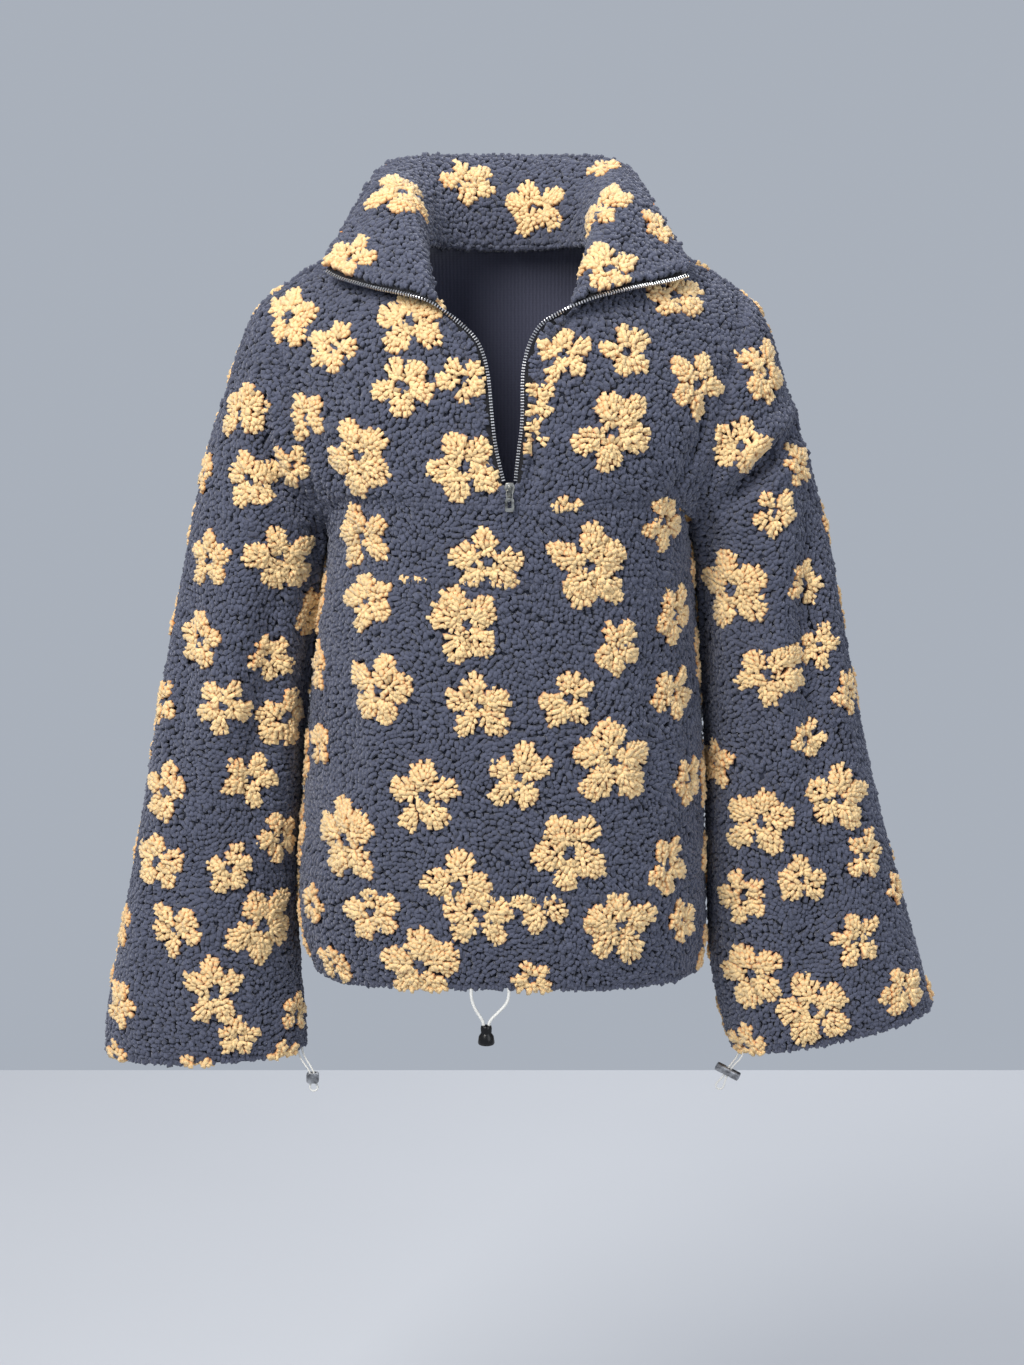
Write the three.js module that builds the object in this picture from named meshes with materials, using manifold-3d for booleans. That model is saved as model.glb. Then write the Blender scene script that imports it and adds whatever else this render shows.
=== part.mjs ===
// Half-zip pullover in sherpa fleece, as it hangs when worn: every cut piece is a cloth wall of its own.
// Millimetres, +Z up, front towards -Y. The origin is the middle of the neck base, level with the
// points where the collar meets the shoulders. "Left" and "right" are as seen from the front.
import * as THREE from 'three';
import * as BufferGeometryUtils from 'three/addons/utils/BufferGeometryUtils.js';
import Module from 'manifold-3d';

const wasm = await Module();
wasm.setup();

// Cloth
const FLEECE = 4.5; // knit backing and pile together
const COLLAR_LAYER = 4.0; // each of the collar's two layers
const SEAM_GAP = 0.3; // clear space between two pieces at a seam
const SEAM_BEVEL = 2.6; // how far the inner face stops short of a seam
const SQUARENESS = 0.87; // exponent of the body's sections: 1 is an ellipse, less is fuller

// Segments of the cloth walls. Pieces that share a seam share its points.
const FRONT_COLUMNS = 16;
const BACK_SHOULDER_COLUMNS = 8;
const BACK_NECK_COLUMNS = 5;
const ARMHOLE_STEPS = 2; // per stretch between two points of the armhole table
const SLEEVE_ROWS = 17;
const COLLAR_COLUMNS = 7;

// Half widths and depths of the body at each height
const BODY = [
  { z: -636, left: 174, right: 175, front: 128, back: 120 },
  { z: -606, left: 190, right: 181, front: 136, back: 130 },
  { z: -541, left: 190, right: 178, front: 137, back: 131 },
  { z: -470, left: 184, right: 177, front: 134, back: 126 },
  { z: -400, left: 179, right: 174, front: 132, back: 119 },
  { z: -330, left: 171, right: 168, front: 131, back: 111 },
  { z: -268, left: 162, right: 165, front: 132, back: 106 },
  { z: -238, left: 158, right: 161, front: 132, back: 105 },
  { z: -201, left: 168, right: 171, front: 131, back: 107 },
];

// Long soft folds of the body: where round it, how deep, how wide in degrees, and from which height
// to which they run
const BODY_FOLDS = [
  { angle: -62, depth: -5, width: 13, top: -300, bottom: -560 },
  { angle: -38, depth: 4, width: 12, top: -290, bottom: -540 },
  { angle: 58, depth: -5, width: 12, top: -300, bottom: -560 },
  { angle: 36, depth: 3, width: 13, top: -330, bottom: -600 },
  { angle: 118, depth: -6, width: 12, top: -280, bottom: -600 },
  { angle: 152, depth: 5, width: 14, top: -260, bottom: -600 },
  { angle: -128, depth: -6, width: 13, top: -280, bottom: -600 },
  { angle: -160, depth: 5, width: 13, top: -300, bottom: -590 },
];

// Heights of the seams round the body, by degrees from the front middle
const CHEST_SEAM = [
  { angle: -73, z: -216 },
  { angle: -55, z: -199 },
  { angle: -25, z: -199 },
  { angle: 0, z: -201 },
  { angle: 25, z: -201 },
  { angle: 55, z: -200 },
  { angle: 73, z: -220 },
];
const BAND_SEAM = [
  { angle: -90, z: -300 },
  { angle: -74, z: -286 },
  { angle: -55, z: -267 },
  { angle: -25, z: -264 },
  { angle: 0, z: -266 },
  { angle: 25, z: -276 },
  { angle: 55, z: -279 },
  { angle: 90, z: -283 },
];
const HEM_SEAM = [
  { angle: -180, z: -541 },
  { angle: -90, z: -546 },
  { angle: -40, z: -542 },
  { angle: 0, z: -541 },
  { angle: 40, z: -543 },
  { angle: 90, z: -547 },
  { angle: 180, z: -541 },
];
const HEM_EDGE = [
  { angle: -180, z: -626 },
  { angle: -135, z: -630 },
  { angle: -90, z: -632 },
  { angle: -55, z: -631 },
  { angle: -25, z: -624 },
  { angle: 0, z: -622 },
  { angle: 30, z: -627 },
  { angle: 60, z: -630 },
  { angle: 90, z: -631 },
  { angle: 140, z: -629 },
  { angle: 180, z: -626 },
];
const CHEST_SEAM_END = 73; // degrees from the front middle where the chest seam meets the armhole

// The armhole of the right side, from the shoulder point down the front, under the arm and up the back
const ARMHOLE = [
  { x: 205, y: 4, z: -26 },
  { x: 204, y: -25, z: -40 },
  { x: 198, y: -47, z: -75 },
  { x: 188, y: -60, z: -115 },
  { x: 181, y: -66, z: -150 },
  { x: 172, y: -64, z: -185 },
  { x: 163, y: -45, z: -219 },
  { x: 160, y: 0, z: -239 },
  { x: 164, y: 42, z: -215 },
  { x: 175, y: 64, z: -180 },
  { x: 187, y: 66, z: -135 },
  { x: 199, y: 54, z: -80 },
  { x: 205, y: 31, z: -38 },
];
const ARMHOLE_CHEST = 6; // rows of the table where the chest seam, the side seam and the shoulder end
const ARMHOLE_UNDERARM = 7;
const ARMHOLE_SHOULDER = 13;

// The neckline from the left end of the zip tape, round the back, to the right end
const NECKLINE = [
  { x: -62, y: -93, z: -31 },
  { x: -70, y: -52, z: -2 },
  { x: -72, y: -5, z: 18 },
  { x: -58, y: 42, z: 16 },
  { x: 0, y: 66, z: 12 },
  { x: 58, y: 42, z: 16 },
  { x: 72, y: -5, z: 18 },
  { x: 68, y: -52, z: -3 },
  { x: 56, y: -93, z: -34 },
];

// The shoulder seam of the right side, from the neck to the shoulder point
const SHOULDER = [
  { x: 72, y: -5, z: 18 },
  { x: 112, y: -1, z: 13 },
  { x: 160, y: 2, z: 3 },
  { x: 205, y: 4, z: -26 },
];

// Upper fronts, row by row from the chest seam to the shoulder seam. x is given from the middle outwards.
const OPENING_MIDDLE = 1.5; // the zip closes this far right of the body's middle
const UPPER_FRONT_LEFT = [
  { inner: [-1.35, -131, -201], near: [62, -127, -200], far: [120, -106, -203] },
  { inner: [12.5, -127, -172], near: [66, -124, -174], far: [125, -105, -178] },
  { inner: [22, -121, -118], near: [72, -121, -128], far: [132, -103, -139] },
  { inner: [30, -112, -75], near: [78, -112, -88], far: [136, -93, -102] },
  { inner: [62, -93, -31], near: [98, -87, -41], far: [147, -70, -56] },
  { inner: [70, -52, -2], near: [107, -47, -3], far: [154, -37, -17] },
  { inner: [72, -5, 18], near: [112, -1, 13], far: [160, 2, 3] },
];
const UPPER_FRONT_RIGHT = [
  { inner: [1.65, -131, -201], near: [62, -127, -200], far: [120, -106, -203] },
  { inner: [14.5, -127, -172], near: [66, -124, -174], far: [125, -105, -178] },
  { inner: [21, -121, -118], near: [70, -121, -128], far: [132, -103, -139] },
  { inner: [26, -112, -75], near: [76, -112, -88], far: [136, -93, -102] },
  { inner: [56, -93, -34], near: [95, -87, -42], far: [147, -70, -56] },
  { inner: [68, -52, -3], near: [106, -47, -4], far: [154, -37, -17] },
  { inner: [72, -5, 18], near: [112, -1, 13], far: [160, 2, 3] },
];

// Upper back, row by row from under the arm to the shoulder seam, from the armhole to the middle
const UPPER_BACK = [
  { wide: [150, 60, -214], broad: [117, 84, -213], narrow: [64, 101, -212], middle: [0, 106, -212] },
  { wide: [152, 75, -179], broad: [115, 92, -178], narrow: [61, 104, -177], middle: [0, 108, -176] },
  { wide: [156, 83, -133], broad: [114, 97, -130], narrow: [59, 105, -127], middle: [0, 108, -125] },
  { wide: [159, 80, -72], broad: [114, 92, -66], narrow: [59, 100, -60], middle: [0, 104, -58] },
  { wide: [156, 45, -19], broad: [104, 56, -6], narrow: [58, 76, -5], middle: [0, 86, -8] },
  { wide: [138, 1, 9], broad: [72, -5, 18], narrow: [58, 42, 16], middle: [0, 66, 12] },
];

// Sleeve sections from just below the armhole to the cuff: the outer and inner side of each, how far
// back its middle lies and its half depth
const SLEEVE_LEFT = [
  { outerX: 220, outerZ: -38, innerX: 162, innerZ: -250, middleY: 3, depth: 67 },
  { outerX: 238, outerZ: -76, innerX: 163, innerZ: -262, middleY: 5, depth: 66 },
  { outerX: 254, outerZ: -128, innerX: 165, innerZ: -280, middleY: 7, depth: 65 },
  { outerX: 271, outerZ: -180, innerX: 167.6, innerZ: -304, middleY: 9, depth: 64 },
  { outerX: 287, outerZ: -257, innerX: 174, innerZ: -345, middleY: 10, depth: 62 },
  { outerX: 305, outerZ: -350, innerX: 181.6, innerZ: -405, middleY: 11, depth: 60 },
  { outerX: 324, outerZ: -447, innerX: 186.6, innerZ: -470, middleY: 12, depth: 60 },
  { outerX: 341, outerZ: -540, innerX: 192.2, innerZ: -545, middleY: 12, depth: 62 },
  { outerX: 357, outerZ: -621, innerX: 192.4, innerZ: -617, middleY: 12, depth: 64 },
  { outerX: 370, outerZ: -682, innerX: 188, innerZ: -676, middleY: 11, depth: 65 },
  { outerX: 372, outerZ: -718, innerX: 185, innerZ: -714, middleY: 9, depth: 61 },
];
const SLEEVE_RIGHT = [
  { outerX: 220, outerZ: -38, innerX: 164, innerZ: -250, middleY: 3, depth: 67 },
  { outerX: 238, outerZ: -78, innerX: 166, innerZ: -262, middleY: 5, depth: 66 },
  { outerX: 250, outerZ: -128, innerX: 168, innerZ: -280, middleY: 7, depth: 65 },
  { outerX: 270, outerZ: -184, innerX: 170, innerZ: -304, middleY: 9, depth: 64 },
  { outerX: 288, outerZ: -257, innerX: 172.2, innerZ: -347, middleY: 10, depth: 62 },
  { outerX: 307, outerZ: -350, innerX: 177, innerZ: -412, middleY: 11, depth: 60 },
  { outerX: 327, outerZ: -447, innerX: 179.6, innerZ: -482, middleY: 12, depth: 60 },
  { outerX: 348, outerZ: -528, innerX: 182, innerZ: -562, middleY: 12, depth: 62 },
  { outerX: 366, outerZ: -589, innerX: 184.4, innerZ: -632, middleY: 12, depth: 64 },
  { outerX: 381, outerZ: -642, innerX: 196, innerZ: -686, middleY: 11, depth: 65 },
  { outerX: 391, outerZ: -675, innerX: 205, innerZ: -716, middleY: 9, depth: 61 },
];
const SLEEVE_FULLNESS = 0.92; // exponent of the sleeve's sections

// The collar's middle surface at each point of the neckline table: it stands at the back and rolls
// outwards at the front
const COLLAR = [
  { roll: [-73, -91, -15], middle: [-114, -72, -8], top: [-156, -36, 5] },
  { roll: [-79, -55, 23], middle: [-109, -32, 34], top: [-141, -1, 28] },
  { roll: [-80, -6, 50], middle: [-102, 8, 68], top: [-124, 24, 60] },
  { roll: [-66, 50, 50], middle: [-82, 66, 77], top: [-97, 84, 87] },
  { roll: [0, 76, 46], middle: [0, 92, 74], top: [0, 112, 88] },
  { roll: [66, 50, 50], middle: [82, 66, 76], top: [96, 84, 86] },
  { roll: [80, -6, 50], middle: [100, 8, 67], top: [120, 24, 57] },
  { roll: [77, -55, 22], middle: [107, -32, 33], top: [139, -1, 26] },
  { roll: [67, -91, -18], middle: [110, -73, -11], top: [155, -38, 2] },
];
// From the neckline to the collar's sewn edge at each point, so that its layers clear the fronts
const COLLAR_START = [4.3, 3.4, 1.6, 0.8, 0.6, 0.8, 1.6, 3.4, 4.3];

// The line of zip teeth on each side, from the slider up and out along the rolled collar
const TEETH_LEFT = [
  { x: -3.2, y: -128.6, z: -179 },
  { x: -6, y: -126.5, z: -168 },
  { x: -10, y: -124, z: -150 },
  { x: -13, y: -121, z: -127 },
  { x: -16, y: -115, z: -95 },
  { x: -20, y: -111, z: -75 },
  { x: -27, y: -108, z: -60 },
  { x: -38, y: -105, z: -49 },
  { x: -52, y: -105, z: -38 },
  { x: -66, y: -104, z: -29 },
  { x: -82, y: -99, z: -24 },
  { x: -112, y: -83, z: -19 },
  { x: -143, y: -60, z: -12 },
  { x: -157, y: -47, z: -6 },
];
const TEETH_RIGHT = [
  { x: 6.2, y: -128.6, z: -179 },
  { x: 7.5, y: -126.5, z: -166 },
  { x: 9.5, y: -124, z: -149 },
  { x: 12, y: -121, z: -127 },
  { x: 12.5, y: -114.5, z: -92 },
  { x: 15, y: -111, z: -75 },
  { x: 20, y: -108, z: -60 },
  { x: 29, y: -106, z: -47 },
  { x: 44, y: -105, z: -38 },
  { x: 59, y: -104, z: -31 },
  { x: 76, y: -99, z: -25 },
  { x: 104, y: -86, z: -19 },
  { x: 138, y: -62, z: -14 },
  { x: 155, y: -49, z: -10 },
];
const TEETH_WIDTH = 3.2;
const TEETH_THICK = 2.4;
const TAPE_THICK = 1.2;
const TAPE_CLEARANCE = 1.6; // from the tape's sewn edge to the cloth's
const ZIP_STEPS = 34;

// Zip slider and its hinged pull tab
const SLIDER = { top: -179.6, bottom: -192.8, wide: 4.5, slim: 3.1, back: -127.8, front: -133 };
const BRIDGE = { width: 2.2, top: -181.4, bottom: -190.6, bar: 1.5, gap: 3.0 };
const STOP = { half: 1.6, top: -193.3, bottom: -196, depth: 2.4, y: -129.2 };
const PIVOT = { y: -134.5, z: -186 }; // the pull's cross bar turns under the bridge
const PULL = { thick: 1.6, bar: 1.6, shoulder: 2.9, half: 3.9, length: 18.6, eyeHalf: 1.8, eyeLength: 5.2 };
const PULL_SLOT = { half: 1.7, top: 9.6, bottom: 15.6 };

// Draw cords: routes by hand, from where each leaves the cloth
const HEM_CORD = 2.8;
const CUFF_CORD = 1.8;
const CORD_SIDES = 8;
const HEM_CORD_LEFT = [
  [-32, -129.4, -623], [-32, -129.5, -625.5], [-32, -129.6, -628], [-31.8, -129.7, -630.4],
  [-31.4, -129.9, -632.8], [-30.8, -130, -635.2], [-30, -130.2, -637.6], [-29, -130.3, -640],
  [-27.8, -130.5, -642.3], [-26.5, -130.6, -644.5], [-25.1, -130.7, -646.7], [-23.8, -130.8, -648.8],
  [-22.6, -130.9, -650.9], [-21.6, -131, -653.2], [-21.2, -131, -655.6],
];
const HEM_CORD_RIGHT = [
  [1, -129.6, -622.4], [1, -129.7, -625.1], [0.9, -129.8, -627.8], [0.6, -129.9, -630.4],
  [0, -130, -633], [-1, -130.1, -635.4], [-2.4, -130.3, -637.6], [-4.1, -130.4, -639.7],
  [-6, -130.5, -641.7], [-8, -130.6, -643.7], [-10, -130.7, -645.7], [-12, -130.8, -647.7],
  [-14, -130.9, -649.8], [-15.8, -131, -652.4], [-16.6, -131, -655.6],
];
const HEM_LOCK = { x: -18.9, y: -131, top: -656, height: 17, neck: 5.0, waist: 4.7, foot: 7.4, dome: 2.2 };
const CUFF_CORD_LEFT = [
  [-192.3, -14, -714.8], [-192, -14.2, -718.4], [-190.6, -14.8, -722], [-188.5, -15.4, -725.6],
  [-186, -16, -729.2], [-183.4, -16.4, -732.8], [-181.5, -16.6, -737], [-180.7, -16.7, -741],
  [-180.4, -16.7, -745], [-181.6, -16.6, -748.2], [-181.7, -16.4, -751.2], [-179.6, -16.2, -753.6],
  [-176.6, -16.1, -753.4], [-174.8, -16.1, -751], [-175.6, -16.1, -748], [-177.4, -16.1, -745],
  [-177.7, -16, -741], [-178.2, -15.6, -737], [-179.8, -14.9, -733.2], [-182.2, -13.4, -729.6],
  [-184.8, -11.7, -726], [-187.1, -9.9, -722.3], [-188.8, -8.2, -718.5], [-189.4, -7, -714.7],
];
const CUFF_CORD_RIGHT = [
  [211.6, -12, -715.1], [211.2, -12.4, -718.6], [209.8, -13, -721.9], [207.8, -13.8, -724.9],
  [205.4, -14.6, -727.8], [203.1, -15.2, -730.6], [201.1, -15.7, -733.5], [199.2, -16.2, -736.4],
  [197.5, -16.6, -739.4], [194.8, -16.9, -742.4], [191.9, -17.1, -745.6], [190.8, -17.2, -749],
  [193.2, -17.2, -751.6], [196.6, -17.1, -750.8], [198.3, -17, -747.6], [199.2, -16.8, -744.2],
  [200.1, -16.7, -741], [201.7, -16.5, -738], [203.3, -16.4, -735], [205, -16.4, -732],
  [207, -16.8, -729.1], [209.4, -17.3, -726.3], [211.8, -17.9, -723.4], [214.2, -18.5, -719.6],
  [215.4, -19, -714.9],
];
const CUFF_LOCK_LEFT = { x: -179.3, y: -16.0, z: -741, lean: 0, half: 5.6, depth: 7, height: 9.6 };
const CUFF_LOCK_RIGHT = { x: 201.4, y: -16.3, z: -734.9, lean: 28, radius: 4.2, length: 23 };
const LOCK_BORE = { across: 6.8, deep: 4.0 };

// Finishes
const SLATE = { color: 0x5c5d73, roughness: 0.95, metalness: 0 };
const BLACK_TAPE = { color: 0x17171a, roughness: 0.8, metalness: 0 };
const SILVER = { color: 0xc6c8cb, roughness: 0.3, metalness: 1 };
const DARK_METAL = { color: 0x8d8e90, roughness: 0.35, metalness: 1 };
const WHITE_CORD = { color: 0xeceae4, roughness: 0.8, metalness: 0 };
const BLACK_PLASTIC = { color: 0x111214, roughness: 0.25, metalness: 0 };

const LEFT = -1;
const RIGHT = 1;
const garment = new THREE.Group();

// Small helpers
function point(x, y, z) {
  return new THREE.Vector3(x, y, z);
}

function fromRow(row, side = RIGHT) {
  return point(side * row.x, row.y, row.z);
}

function fromList(list) {
  return point(list[0], list[1], list[2]);
}

function mirrored(list, side) {
  return point(side * list[0], list[1], list[2]);
}

function smoothCurve(points, closed = false) {
  return new THREE.CatmullRomCurve3(points, closed, 'catmullrom', 0.5);
}

function smoothStep(low, high, value) {
  return THREE.MathUtils.smoothstep(value, low, high);
}

// A table column at a place between its rows
function between(table, key, column, value) {
  const rising = table[table.length - 1][key] > table[0][key];
  const rows = rising ? table : [...table].reverse();
  const clamped = THREE.MathUtils.clamp(value, rows[0][key], rows[rows.length - 1][key]);
  let row = 0;
  while (row < rows.length - 2 && rows[row + 1][key] < clamped) {
    row += 1;
  }
  const share = (clamped - rows[row][key]) / (rows[row + 1][key] - rows[row][key]);
  return THREE.MathUtils.lerp(rows[row][column], rows[row + 1][column], share);
}

// The same, with the steps between the rows rounded off
function softBetween(table, key, column, value) {
  const reach = 14;
  const samples = [-reach, 0, reach].map((shift) => between(table, key, column, value + shift));
  return (samples[0] + 2 * samples[1] + samples[2]) / 4;
}

function addMesh(name, geometry, finish) {
  const mesh = new THREE.Mesh(geometry, new THREE.MeshStandardMaterial(finish));
  mesh.name = name;
  garment.add(mesh);
  return mesh;
}

// A closed mesh with its faces out, from points and quads or triangles
function solidFrom(points, faces) {
  const triangles = faces.flatMap((f) => (f.length === 4 ? [[f[0], f[1], f[2]], [f[0], f[2], f[3]]] : [f]));
  let volume = 0;
  for (const [a, b, c] of triangles) {
    volume += points[a].dot(points[b].clone().cross(points[c])) / 6;
  }
  const index = triangles.flatMap(([a, b, c]) => (volume > 0 ? [a, b, c] : [a, c, b]));
  const geometry = new THREE.BufferGeometry();
  geometry.setAttribute('position', new THREE.Float32BufferAttribute(points.flatMap((p) => p.toArray()), 3));
  geometry.setIndex(index);
  return geometry;
}

function toSolid(geometry) {
  const bare = geometry.clone();
  bare.deleteAttribute('normal');
  bare.deleteAttribute('uv');
  const merged = BufferGeometryUtils.mergeVertices(bare, 1e-4);
  return new wasm.Manifold(new wasm.Mesh({
    numProp: 3,
    vertProperties: new Float32Array(merged.attributes.position.array),
    triVerts: new Uint32Array(merged.index.array),
  }));
}

function fromSolid(solid) {
  const mesh = solid.getMesh();
  const geometry = new THREE.BufferGeometry();
  geometry.setAttribute('position', new THREE.Float32BufferAttribute(mesh.vertProperties, 3));
  geometry.setIndex([...mesh.triVerts]);
  return geometry;
}

// Directions across a grid of points
function gridNormal(grid, row, column, closed) {
  const lastRow = grid.length - 1;
  const count = grid[0].length;
  const before = closed ? (column + count - 1) % count : Math.max(column - 1, 0);
  const after = closed ? (column + 1) % count : Math.min(column + 1, count - 1);
  const across = grid[row][after].clone().sub(grid[row][before]);
  const along = grid[Math.min(row + 1, lastRow)][column].clone().sub(grid[Math.max(row - 1, 0)][column]);
  return across.cross(along).normalize();
}

// A cloth wall on a grid of points: one face lies `lift` outside the grid, the other `thickness` deeper.
// Its edges stop short of the seams, and the inner face a little further.
function clothWall(name, grid, { outward, closed = false, thickness = FLEECE, lift = 0, bevel = SEAM_BEVEL }) {
  const rows = grid.length;
  const columns = grid[0].length;
  const normals = grid.map((line, r) => line.map((_, c) => gridNormal(grid, r, c, closed)));
  const middleRow = Math.floor(rows / 2);
  const middleColumn = Math.floor(columns / 2);
  const sign = Math.sign(normals[middleRow][middleColumn].dot(outward(grid[middleRow][middleColumn])));
  const inset = (r, c, distance) => {
    const shift = point(0, 0, 0);
    const towards = (r2, c2) => shift.add(grid[r2][c2].clone().sub(grid[r][c]).setLength(distance));
    if (r === 0) towards(1, c);
    if (r === rows - 1) towards(rows - 2, c);
    if (!closed && c === 0) towards(r, 1);
    if (!closed && c === columns - 1) towards(r, columns - 2);
    return shift;
  };
  const points = [];
  for (const depth of [lift, lift - thickness]) {
    for (let r = 0; r < rows; r += 1) {
      for (let c = 0; c < columns; c += 1) {
        const trim = SEAM_GAP / 2 + (depth < lift ? bevel : 0);
        const moved = grid[r][c].clone().addScaledVector(normals[r][c], sign * depth);
        points.push(moved.add(inset(r, c, trim)));
      }
    }
  }
  const under = rows * columns;
  const at = (r, c) => r * columns + (c % columns);
  const faces = [];
  const lastColumn = closed ? columns : columns - 1;
  for (let r = 0; r < rows - 1; r += 1) {
    for (let c = 0; c < lastColumn; c += 1) {
      faces.push([at(r, c), at(r, c + 1), at(r + 1, c + 1), at(r + 1, c)]);
      faces.push([under + at(r, c), under + at(r + 1, c), under + at(r + 1, c + 1), under + at(r, c + 1)]);
    }
    if (!closed) {
      faces.push([at(r, 0), at(r + 1, 0), under + at(r + 1, 0), under + at(r, 0)]);
      const low = at(r, lastColumn);
      const high = at(r + 1, lastColumn);
      faces.push([high, low, under + low, under + high]);
    }
  }
  for (let c = 0; c < lastColumn; c += 1) {
    faces.push([at(0, c + 1), at(0, c), under + at(0, c), under + at(0, c + 1)]);
    faces.push([at(rows - 1, c), at(rows - 1, c + 1), under + at(rows - 1, c + 1), under + at(rows - 1, c)]);
  }
  return addMesh(name, solidFrom(points, faces), SLATE);
}

// The body's section: degrees count from the front middle, negative to the left
function bodyPoint(degrees, z) {
  const turn = THREE.MathUtils.degToRad(degrees);
  const sine = Math.sin(turn);
  const cosine = Math.cos(turn);
  const width = softBetween(BODY, 'z', sine < 0 ? 'left' : 'right', z);
  const depth = softBetween(BODY, 'z', cosine > 0 ? 'front' : 'back', z);
  let swell = 1;
  for (const fold of BODY_FOLDS) {
    const away = Math.abs(THREE.MathUtils.euclideanModulo(degrees - fold.angle + 180, 360) - 180);
    const round = Math.exp(-((away / fold.width) ** 2));
    const fade = smoothStep(0, 60, fold.top - z) * smoothStep(0, 45, z - fold.bottom);
    swell += (fold.depth / width) * round * fade;
  }
  const x = Math.sign(sine) * width * Math.abs(sine) ** SQUARENESS * swell;
  const y = -Math.sign(cosine) * depth * Math.abs(cosine) ** SQUARENESS * swell;
  return point(x, y, z);
}

const awayFromBody = (p) => point(p.x, p.y, 0);

const armholes = new Map();
for (const side of [LEFT, RIGHT]) {
  armholes.set(side, smoothCurve(ARMHOLE.map((row) => fromRow(row, side)), true));
}
const neckline = smoothCurve(NECKLINE.map((row) => fromRow(row)));

// A point of the armhole, by rows of its table
function armholeAt(side, row) {
  return armholes.get(side).getPoint((row / ARMHOLE.length) % 1);
}

function shoulderAt(side, share) {
  return smoothCurve(SHOULDER.map((row) => fromRow(row, side))).getPoint(share);
}

function frontAngle(column, end) {
  return THREE.MathUtils.lerp(-end, end, column / FRONT_COLUMNS);
}

// Front pieces below the chest seam
function frontBand() {
  const edgeRows = ARMHOLE_STEPS;
  const rows = 5;
  const grid = [];
  for (let r = 0; r <= rows; r += 1) {
    const end = THREE.MathUtils.lerp(CHEST_SEAM_END, 90, Math.min(1, r / edgeRows));
    const line = [];
    for (let c = 0; c <= FRONT_COLUMNS; c += 1) {
      const top = between(CHEST_SEAM, 'angle', 'z', frontAngle(c, CHEST_SEAM_END));
      const bottom = between(BAND_SEAM, 'angle', 'z', frontAngle(c, 90));
      line.push(bodyPoint(frontAngle(c, end), THREE.MathUtils.lerp(top, bottom, r / rows)));
    }
    for (const side of [LEFT, RIGHT]) {
      const seamEnd = between(BAND_SEAM, 'angle', 'z', side * 90);
      const underarm = ARMHOLE[ARMHOLE_UNDERARM].z;
      const below = THREE.MathUtils.lerp(underarm, seamEnd, (r - edgeRows) / (rows - edgeRows));
      const edge = r <= edgeRows
        ? armholeAt(side, ARMHOLE_CHEST + r / ARMHOLE_STEPS)
        : bodyPoint(side * 90, below);
      line[side === LEFT ? 0 : FRONT_COLUMNS] = edge;
    }
    grid.push(line);
  }
  clothWall('front_band', grid, { outward: awayFromBody });
  return grid;
}

function bodyTier(name, seamAbove, seamBelow, angles, rows) {
  const grid = [];
  for (let r = 0; r <= rows; r += 1) {
    grid.push(angles.map((angle) => {
      const wrapped = angle > 180 ? angle - 360 : angle;
      const top = between(seamAbove, 'angle', 'z', wrapped);
      const bottom = between(seamBelow, 'angle', 'z', wrapped);
      return bodyPoint(angle, THREE.MathUtils.lerp(top, bottom, r / rows));
    }));
  }
  clothWall(name, grid, { outward: awayFromBody });
}

const frontAngles = Array.from({ length: FRONT_COLUMNS + 1 }, (_, c) => frontAngle(c, 90));
const backColumns = 2 * (BACK_SHOULDER_COLUMNS + BACK_NECK_COLUMNS);
const backAngles = Array.from({ length: backColumns + 1 }, (_, c) => 90 + (180 * c) / backColumns);

// The two upper fronts: inner edge on the zip and the neckline, outer edge on the armhole
function upperFront(name, side, table, chestSeam) {
  const columns = FRONT_COLUMNS / 2;
  const rows = (table.length - 1) * ARMHOLE_STEPS;
  const curves = table.map((row, r) => smoothCurve([
    mirrored(row.inner, side),
    mirrored(row.near, side),
    mirrored(row.far, side),
    armholeAt(side, ARMHOLE_CHEST - r),
  ]));
  const grid = Array.from({ length: rows + 1 }, () => []);
  for (let c = 0; c <= columns; c += 1) {
    const upwards = smoothCurve(curves.map((curve) => curve.getPoint(c / columns)));
    for (let r = 0; r <= rows; r += 1) {
      grid[r].push(upwards.getPoint(r / rows));
    }
    if (c > 0) {
      grid[0][c] = chestSeam[columns + side * c].clone();
    }
    grid[rows][c] = shoulderAt(side, c / columns);
  }
  const neckRows = 2 * ARMHOLE_STEPS; // the two top rows of the table lie on the neckline
  for (let r = 0; r <= rows; r += 1) {
    grid[r][columns] = armholeAt(side, ARMHOLE_CHEST - r / ARMHOLE_STEPS);
    const up = r - (rows - neckRows);
    if (up >= 0) {
      const share = (up / neckRows) * (2 / (NECKLINE.length - 1));
      grid[r][0] = neckline.getPoint(side === LEFT ? share : 1 - share);
    }
  }
  clothWall(name, grid, { outward: awayFromBody });
  return grid.map((line) => line[0]);
}

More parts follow.
